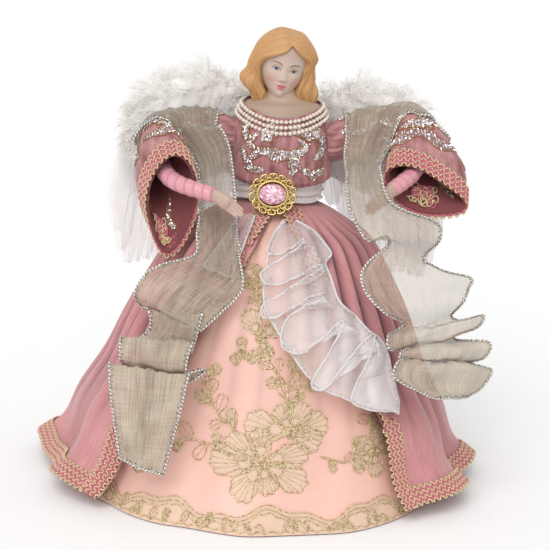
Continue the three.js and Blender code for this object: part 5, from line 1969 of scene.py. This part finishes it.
    def wind_arm(self) -> None:
        """Wind the padded arm with satin ribbon, with painted shade along the edges of its wraps."""
        line = smooth(in_place(self.side, ARM_LINES[self.side]), self.wrap_rings)
        radii = np.interp(shares(self.wrap_rings), shares(len(ARM_RADII)), ARM_RADII)[:, None]
        along = unit(np.gradient(line, axis=0))
        side = unit(np.cross(along, (0, 0, 1)))
        a = around(self.wrap_sides)
        turns = (run_of(line)[:, None] / self.wrap_pitch + a / TURN) % 1
        r = radii - 0.2 + self.wrap_step * (1 - turns) * ease(0.0, 0.07, turns)
        r = r + 0.06 * np.sin(5 * a + line[:, :1])
        # Painted shade: darkest along the step at each wrap's edge, and a little darker where the wrap tucks
        # under the next.
        tone = 1 - 0.5 * (1 - ease(0.0, 0.09, turns)) - 0.25 * ease(0.75, 1.0, turns)
        tint = tone[..., None].repeat(4, -1)
        rings = rings_on(line, r[..., None], side, np.cross(side, along), a)
        maker = Maker()
        maker.grid(capped(line, rings), True, tint=np.concatenate([tint[:1], tint, tint[-1:]]))
        wrap = maker.build(f"ribbon_arm_{self.name}", [PINK_SATIN])
        settle(wrap, self.body, "ribbon_wrap", f"arm_wrap_{self.name}")

    def cast_hand(self) -> None:
        """Cast the hand: palm, four fingers and thumb."""
        wrist = in_place(self.side, ARM_LINES[self.side][-1])
        palm, tips, thumb = (in_place(self.side, p) for p in HANDS[self.side])
        ahead = unit(tips - palm)
        across = unit(np.cross(ahead, (0, 1, 0)))
        thick = np.cross(across, ahead)
        heel = mix(wrist, palm, np.array((-0.35, 0.3, 1.0))[:, None])
        back = smooth(np.concatenate([heel, [palm + 2.5 * ahead, palm + 5.0 * ahead]]), 14)
        maker = Maker()
        widths = np.interp(shares(14), (0, 0.4, 0.8, 1), (4.2, 4.4, 5.2, 3.6))
        maker.tube(back, widths, 14, flat=0.62, up=thick)
        for k, share in enumerate(FINGERS):
            place = (k - 1.5) * self.finger_gap
            root = palm + 3.0 * ahead + place * across
            end = mix(palm, tips + 1.2 * ahead, share) + place * 0.95 * across - 0.8 * thick
            bend = mix(root, end, 0.55) + 0.7 * thick
            maker.tube(smooth((root, bend, end), 10), np.linspace(1.35, 0.85, 10), 8)
        knuckle = mix(palm, thumb, 0.55) + 0.8 * across
        line = smooth((mix(wrist, palm, 0.6), knuckle, thumb), 10)
        maker.tube(line, np.linspace(2.0, 1.0, 10), 8)
        hand = maker.build(f"bisque_hand_{self.name}", [SKIN])
        fused(hand, self.skin_voxel, 4)
        settle(hand, self.body, "bisque", f"hand_{self.name}")

    def build(self) -> None:
        """Make the whole arm."""
        self.sew_sleeve()
        self.wind_arm()
        self.cast_hand()


def skirt_front(x: Array, z: Array, off: float = 0.0) -> Array:
    """Give the Y of the overskirt's front.

    Args:
        x: Places across.
        z: Places up.
        off: Distance out from the cloth.

    Returns:
        The Y at each place.
    """
    drop = np.clip((WAIST_Z - z) / (WAIST_Z - OVER.hem_z), 0, 1)
    wide = mix(OVER.top_r, OVER.hem_rx, OVER.flare(drop)) + off
    angle = np.arcsin(np.clip((x - lean_at(z)) / wide, -0.97, 0.97))
    return OVER.at(drop, angle, off)[..., 1]


@dataclass
class Ribbon:
    """A length of wired ribbon laid out as rows across its width."""

    name: str
    cloth: Finish
    thread: Finish
    ripple: float
    ripples: int
    seed: int
    rumple: float = 0.5
    rumples: int = 6
    cord_r: float = 0.7
    stitch: float = 2.2
    stitch_pitch: float = 1.9
    stitch_r: float = 0.4
    stitch_lift: float = 0.5

    def rumpled(self, rows: Array) -> Array:
        """Crinkle and rumple the cloth.

        Args:
            rows: Rows of points across the width, along the length.

        Returns:
            The rows, each point moved off the cloth a little.
        """
        rng = np.random.default_rng(self.seed)
        s, u = shares(rows.shape[0])[:, None], shares(rows.shape[1])[None]
        off = unit(np.cross(np.gradient(rows, axis=0), np.gradient(rows, axis=1)))
        phase = rng.uniform(0, 6, 4)
        crinkle = np.sin(TURN * self.ripples * u + 3 * np.sin(9 * s + phase[0]) + phase[1])
        crinkle = crinkle + 0.6 * np.sin(TURN * 2.3 * self.ripples * u + 24 * np.sin(5 * s) + phase[2])
        crinkle = crinkle * (0.6 + 0.4 * np.sin(31 * s + 4 * u + phase[3]))
        rumple = np.zeros_like(crinkle)
        for _ in range(self.rumples):
            across, along, start = rng.uniform(0.4, 2.0), rng.uniform(5, 16), rng.uniform(0, 6)
            rumple = rumple + np.sin(TURN * (across * u + along * s) + start)
        lift = self.ripple * (crinkle * (0.25 + 0.75 * np.sin(math.pi * u)) + self.rumple * rumple)
        return rows + off * lift[..., None]

    def whip(self, maker: Maker, edge: Array, inner: Array) -> None:
        """Whip an edge with thread over a wire.

        Args:
            maker: Where the thread goes.
            edge: Points along the edge.
            inner: Points of the cloth next to it.
        """
        packed = even(np.concatenate([edge, inner - edge], 1), self.stitch_pitch / 2)
        line, way = packed[:, :3], unit(packed[:, 3:])
        maker.tube(line, self.cord_r)
        step = np.arange(len(line))
        zig = np.where(step % 2 == 0, 0.0, self.stitch)
        lift = np.where(step % 4 < 2, self.stitch_lift, -self.stitch_lift)
        off = unit(np.cross(way, np.gradient(line, axis=0)))
        maker.tube(line + zig[:, None] * way + lift[:, None] * off, self.stitch_r, 4)

    def make(self, rows: Array, layers: tuple[Place, ...]) -> tuple[Piece, Piece, Flat]:
        """Make the ribbon and its whipped edges.

        Args:
            rows: Rows of points across the width, along the length.
            layers: Along the length: how many layers lie on each other, and their painted shade.

        Returns:
            The cloth, its edging, and the width and length that the cloth measures in metres.
        """
        rows = self.rumpled(rows)
        s = shares(len(rows))[:, None]
        along, deep, shade = np.array(layers).T
        # Painted shade along the length darkens the rows; the alpha counts the layers.
        tint = np.ones(rows.shape[:2] + (4,)) * np.interp(s, along, shade)[..., None]
        tint[..., 3] = np.interp(s, along, deep)
        maker = Maker()
        maker.grid(rows, tint=tint)
        corner = rows[:-1, :-1]
        patches = np.cross(rows[1:, :-1] - corner, rows[:-1, 1:] - corner)
        area = float(np.linalg.norm(patches, axis=2).sum())
        long = float(np.mean([run_of(rows[:, k])[-1] for k in range(0, rows.shape[1], 4)]))
        edging = Maker()
        self.whip(edging, rows[:, 0], rows[:, 1])
        self.whip(edging, rows[:, -1], rows[:, -2])
        self.whip(edging, rows[-1], rows[-2])
        cloth = maker.build(self.name, [self.cloth])
        return cloth, edging.build(f"{self.name}_edge", [self.thread]), (area / long * MM, long * MM)


@dataclass
class Scarf:
    """One end of the gauze scarf: behind the arm, over the sleeve and down the skirt in pleats."""

    arm: Arm
    columns: int = 44
    rows: int = 480
    lie: float = 1.8
    clear: float = 8.6
    clear_below: float = 4.0
    bulge: float = 3.5
    ripple: float = 0.7
    ripples: int = 6
    blend_out: float = 25.0
    blend_low: float = 0.150
    blend_high: float = 0.212
    seed: int = 30

    def spread(self, pair: Pair, belly: float = 0.0) -> Array:
        """Spread one row of the scarf.

        Args:
            pair: Its inner and its outer edge.
            belly: How far its middle swells to the front.

        Returns:
            The row.
        """
        inner, outer = (np.array(p, float) for p in pair)
        share = shares(self.columns)[:, None]
        return mix(inner, outer, share) + 4 * share * (1 - share) * np.array((0.0, -belly, 0.0))

    def over(self, degrees: float) -> Array:
        """Lay one row over the top of the sleeve."""
        t = np.linspace(0.24, mix(0.76, 0.66, ease(80, 154, degrees)), self.columns)
        return self.arm.sleeve(t, np.full(self.columns, math.radians(degrees)), self.lie)

    def build(self) -> None:
        """Drape the scarf."""
        side = self.arm.side
        keys = [in_place(side, self.spread(p)) for p in SCARF_BACK[side]]
        keys += [self.over(a) for a in SCARF_OVER]
        keys += [in_place(side, self.spread(p)) for p in SCARF_FRONT[side]]
        keys += [self.spread(p, self.bulge) for p in SCARF_FALL[side]]
        rows = smooth(np.stack(keys), self.rows)
        rest = np.minimum(rows[..., 1], skirt_front(rows[..., 0], rows[..., 2], self.clear))
        rows[..., 1] = np.where(rows[..., 2] < WAIST_Z - self.clear_below, rest, rows[..., 1])
        name = f"gauze_scarf_{side.label}"
        ribbon = Ribbon(name, SCARF, SILVER_THREAD, self.ripple, self.ripples, self.seed + side.value)
        scarf, edge, flat = ribbon.make(rows, SCARF_LAYERS[side])
        for piece in (scarf, edge):
            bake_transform(piece)
        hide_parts(f"scarf_{side.label}")
        LOG.info("%s: cut %.3f by %.3f m", name, *flat)


@dataclass
class Ruffle:
    """Organza ruffle and short tail that fall from under the brooch."""

    rows: int = 560
    columns: int = 30
    ribbon: float = 36.0
    puff: float = 0.3
    clear_front: float = 7.0
    clear_back: float = 6.0
    clear_tail: float = 5.2
    tail_rows: int = 120
    tail_columns: int = 24
    tail_long: float = 32.0
    ripple: float = 0.2
    ripples: int = 7
    cord_r: float = 0.6
    stitch: float = 1.4
    seed: int = 44

    def on_skirt(self, places: tuple[Place, ...]) -> Array:
        """Set a smooth line on the skirt.

        Args:
            places: Places across, up and off the skirt.

        Returns:
            Points along the line.
        """
        line = smooth(places, self.rows)
        y = skirt_front(line[:, 0], line[:, 1]) - line[:, 2]
        return np.stack([line[:, 0], y, line[:, 1]], -1)

    def frill(self, free: tuple[Place, ...], clear: float) -> Array:
        """Lay one layer of the ruffle out between its free edge and its gathered root.

        Args:
            free: Places of its free edge.
            clear: How far it keeps off the skirt, to clear the braid.

        Returns:
            Rows of points across its width.
        """
        edge, root = self.on_skirt(free)[:, None], self.on_skirt(FRILL_ROOT)[:, None]
        u = shares(self.columns)[None, :, None]
        gap = np.linalg.norm(edge - root, axis=2, keepdims=True)
        slack = self.puff * np.sqrt(np.clip(self.ribbon**2 - gap**2, 0, None))
        rows = mix(edge, root, u) + slack * np.sin(math.pi * u) * unit(np.array((0.0, -1.0, -0.25)))
        rows[..., 1] = np.minimum(rows[..., 1], skirt_front(rows[..., 0], rows[..., 2], clear))
        return rows

    def tail(self) -> Array:
        """Lay out the short tail.

        Returns:
            Rows of points across its width.
        """
        v = shares(self.tail_rows)[:, None]
        u = np.linspace(-1, 1, self.tail_columns)[None]
        z = WAIST_Z - 5 - self.tail_long * v - 2 * u * v
        x = mix(-13, -30, v) + mix(5, 9, v) * u
        y = skirt_front(x, z, self.clear_tail) - 0.8 * (0.5 - 0.5 * np.cos(v * 2 * TURN + u))
        return np.stack([x, y, z], -1)

    def build(self) -> None:
        """Sew the ruffle and the tail."""
        front = self.frill(FRILL_EDGE, self.clear_front)
        back = self.frill(FRILL_BACK, self.clear_back)
        for name, rows, layers, held, nodes in (
            ("organza_frill", front, FRILL_LAYERS, "gathered", ("organza_ruffle",)),
            ("organza_frill_back", back, FRILL_LAYERS, "gathered", ()),
            ("organza_tail", self.tail(), TAIL_LAYERS, "hung", ("sash_tail",)),
        ):
            ribbon = Ribbon(
                name, ORGANZA, WHITE_THREAD, self.ripple, self.ripples, self.seed, cord_r=self.cord_r,
                stitch=self.stitch,
            )
            piece, edge, flat = ribbon.make(rows, layers)
            settle(piece, "figure", "organza", *nodes)
            settle(edge, "figure", "organza")
            LOG.info("%s: cut %.3f by %.3f m", name, *flat)


@dataclass
class Wing:
    """One wing: rows of feathers on a card, topped with down."""

    side: Side
    hinge_z: float = 228.0
    feather_y: float = 45.2
    covert_y: float = 41.6
    vane_steps: int = 26
    vane_columns: int = 5
    bow: float = 5.0
    down_y: float = 33.0
    down_front: float = 23.5
    down_back: float = 43.5
    down_squash: float = 0.12
    down_deep: float = 8.0
    down_steps: int = 80
    core_sides: int = 24
    plumes: int = 460
    barbs: int = 40
    seed: int = 60

    def lay(self, flat: Array, y: Amount) -> Array:
        """Set points out and up from the hinge at a depth."""
        x = LEAN + self.side.value * flat[..., 0]
        return np.stack([x, np.broadcast_to(y, flat.shape[:-1]), self.hinge_z + flat[..., 1]], -1)

    def feather(
        self, maker: Maker, base: Array, tip: Array, half: float, bow: float, y: float, rng: Rng
    ) -> None:
        """Make one feather: a shaft and two soft vanes.

        Args:
            maker: Where it goes; its slots are vane and shaft.
            base: Where its shaft starts, out and up.
            tip: Where it ends, out and up.
            half: Half its width.
            bow: How far it bows outward.
            y: Its depth.
            rng: Where its chances come from.
        """
        steps = self.vane_steps
        t = shares(steps)
        cols = shares(self.vane_columns)
        out = sideways(unit(tip - base))
        out = out * (1 if out[0] > 0 else -1)
        spine = base + t[:, None] * (tip - base) + (bow * 4 * t * (1 - t))[:, None] * out
        head = unit(np.gradient(spine, axis=0))
        side = sideways(head)
        depth = y - 1.2 * np.sin(math.pi * t)
        wide = half * np.clip(np.sin(math.pi * np.clip(t * 0.93 + 0.04, 0, 1)), 0, 1) ** 0.55
        sweep = (cols**1.5 * wide[:, None] * 0.45)[..., None] * head[:, None]
        for sign, share in ((1, 1.0), (-1, 0.8)):
            ragged = wide * share * (1 + rng.uniform(-0.14, 0.1, steps))
            flat = spine[:, None] + sign * (ragged[:, None] * cols)[..., None] * side[:, None] + sweep
            deep = depth[:, None] + 0.09 * half * cols**2 + rng.uniform(-0.1, 0.1, (steps, 1)) * cols
            maker.grid(self.lay(flat, deep), flip=(sign > 0) == (self.side is Side.LEFT))
        maker.tube(self.lay(spine, depth - 0.2), np.linspace(0.55, 0.12, steps), 5, slot=1)

    def rows_of_feathers(self) -> None:
        """Set the long primaries and the shorter coverts."""
        rng = np.random.default_rng(self.seed)
        for name, count, reach, half, y, deep in (
            ("primaries", 14, 1.0, 9.0, self.feather_y, 0.9), ("coverts", 16, 0.58, 8.0, self.covert_y, 0.7),
        ):
            maker = Maker()
            bases, tips = (smooth(line, count) for line in (FEATHER_BASES, FEATHER_TIPS))
            for k in range(count):
                end = mix(bases[k], tips[k], reach * rng.uniform(0.96, 1.03))
                wide = half * rng.uniform(0.9, 1.1)
                bow = self.bow * (1 - k / count)
                self.feather(maker, bases[k], end, wide, bow, y - deep * ((k % 3) - 1), rng)
            obj = maker.build(f"feather_{name}_{self.side.label}", [FEATHER, DOWN])
            settle(obj, f"{self.side.label}_wing", "feather", f"wing_{name}_{self.side.label}")

    def plumage(self, path: Array, rng: Rng) -> Array:
        """Grow plumes of fine barbs all round the line of the down.

        Args:
            path: Places out and up, with the radius there.
            rng: Where their chances come from.

        Returns:
            The barbs, each a line of four places out, up and in depth.
        """
        n = self.plumes
        s = rng.integers(2, self.down_steps - 2, n)
        a = rng.uniform(0, TURN, n)
        head = unit(np.gradient(path[:, :2], axis=0))[s]
        side = sideways(head)
        r = path[s, 2]
        flat = path[s, :2] + side * (0.72 * r * np.cos(a))[:, None]
        deep = self.down_y + np.minimum(self.down_deep, 0.6 * r) * 0.8 * np.sin(a)
        root = np.concatenate([flat, deep[:, None]], 1)
        way = np.concatenate([side * np.cos(a)[:, None] + 0.55 * head, 0.55 * np.sin(a)[:, None] - 0.12], 1)
        way = unit(way + rng.normal(0, 0.32, (n, 3)))
        long = ((0.5 * r + 6.0) * rng.uniform(0.7, 1.35, n))[:, None]
        droop = np.array((0.0, -1.0, 0.0))
        t = shares(self.barbs)
        stem = root[:, None] + (long * t)[..., None] * way[:, None] + (0.3 * long * t**2)[..., None] * droop
        spin = unit(np.cross(way, rng.normal(0, 1, (n, 3))))
        sign = np.where(np.arange(self.barbs) % 2 == 0, 1.0, -1.0)[None, :, None]
        lean = unit(way[:, None] * 1.1 + sign * spin[:, None] + rng.normal(0, 0.35, (n, self.barbs, 3)))
        reach = 3.5 + 6.0 * np.sin(math.pi * (0.15 + 0.8 * t))
        reach = (reach[None] * rng.uniform(0.7, 1.3, (n, self.barbs)))[..., None]
        k = shares(4)
        line = stem[:, :, None] + (reach * k)[..., None] * lean[:, :, None]
        return (line + (0.25 * reach * k**2)[..., None] * droop).reshape(-1, 4, 3)

    def down(self) -> None:
        """Lay the marabou down along the top of the wing."""
        rng = np.random.default_rng(self.seed + 1)
        path = smooth(DOWN_LINE, self.down_steps)
        path[:, 1] -= DOWN_SINK[self.side]
        line = self.plumage(path, rng)
        cross = unit(np.cross(np.gradient(line, axis=1), rng.normal(0, 1, (len(line), 1, 3))))
        width = np.array((0.14, 0.12, 0.08, 0.02))[None, :, None]
        strip = np.stack([line - width * cross, line + width * cross], 2)
        deep = strip[..., 2]
        front, back, squash = self.down_front, self.down_back, self.down_squash
        deep = np.where(deep > back, back + squash * (deep - back), deep)
        deep = np.where(deep < front, front + squash * (deep - front), deep)
        maker = Maker()
        maker.strips(self.lay(strip[..., :2], deep))
        th = around(self.core_sides)
        normal = sideways(unit(np.gradient(path[:, :2], axis=0)))
        lumps = 0.74 + 0.08 * np.sin(5 * th + np.arange(self.down_steps)[:, None] * 0.7)
        lumps = lumps + rng.normal(0, 0.02, lumps.shape)
        radius = path[:, 2, None]
        core = path[:, None, :2] + normal[:, None] * (radius * lumps * np.cos(th))[..., None]
        depth = self.down_y + np.minimum(self.down_deep, 0.6 * radius) * lumps * np.sin(th)
        maker.grid(self.lay(core, depth), True, flip=self.side is Side.RIGHT)
        obj = maker.build(f"marabou_{self.side.label}", [DOWN])
        settle(obj, f"{self.side.label}_wing", "down", f"wing_down_{self.side.label}")

    def build(self) -> None:
        """Make the wing."""
        self.rows_of_feathers()
        self.down()


def dress_frame(frame: dict) -> None:
    """Give the card, padding and wire that stay in sight their own finishes.

    Args:
        frame: What the shared frame holds.
    """
    for name, node in frame["nodes"].items():
        for start, finish in FRAME_LOOKS.items():
            if name.startswith(start):
                node.data.materials.clear()
                node.data.materials.append(finish.material())


def main() -> None:
    """Build the pieces in order and note the sizes."""
    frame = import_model()
    Studio().build()
    dress_frame(frame)
    Underskirt().build()
    Overskirt().build()
    Bust().build()
    Head().build()
    for side in Side:
        arm = Arm(side, SLEEVE_TAPER[side])
        arm.build()
        Scarf(arm).build()
        Wing(side).build()
    Ruffle().build()


if __name__ == "__main__":
    logging.basicConfig(level=logging.INFO, format="%(message)s")
    main()
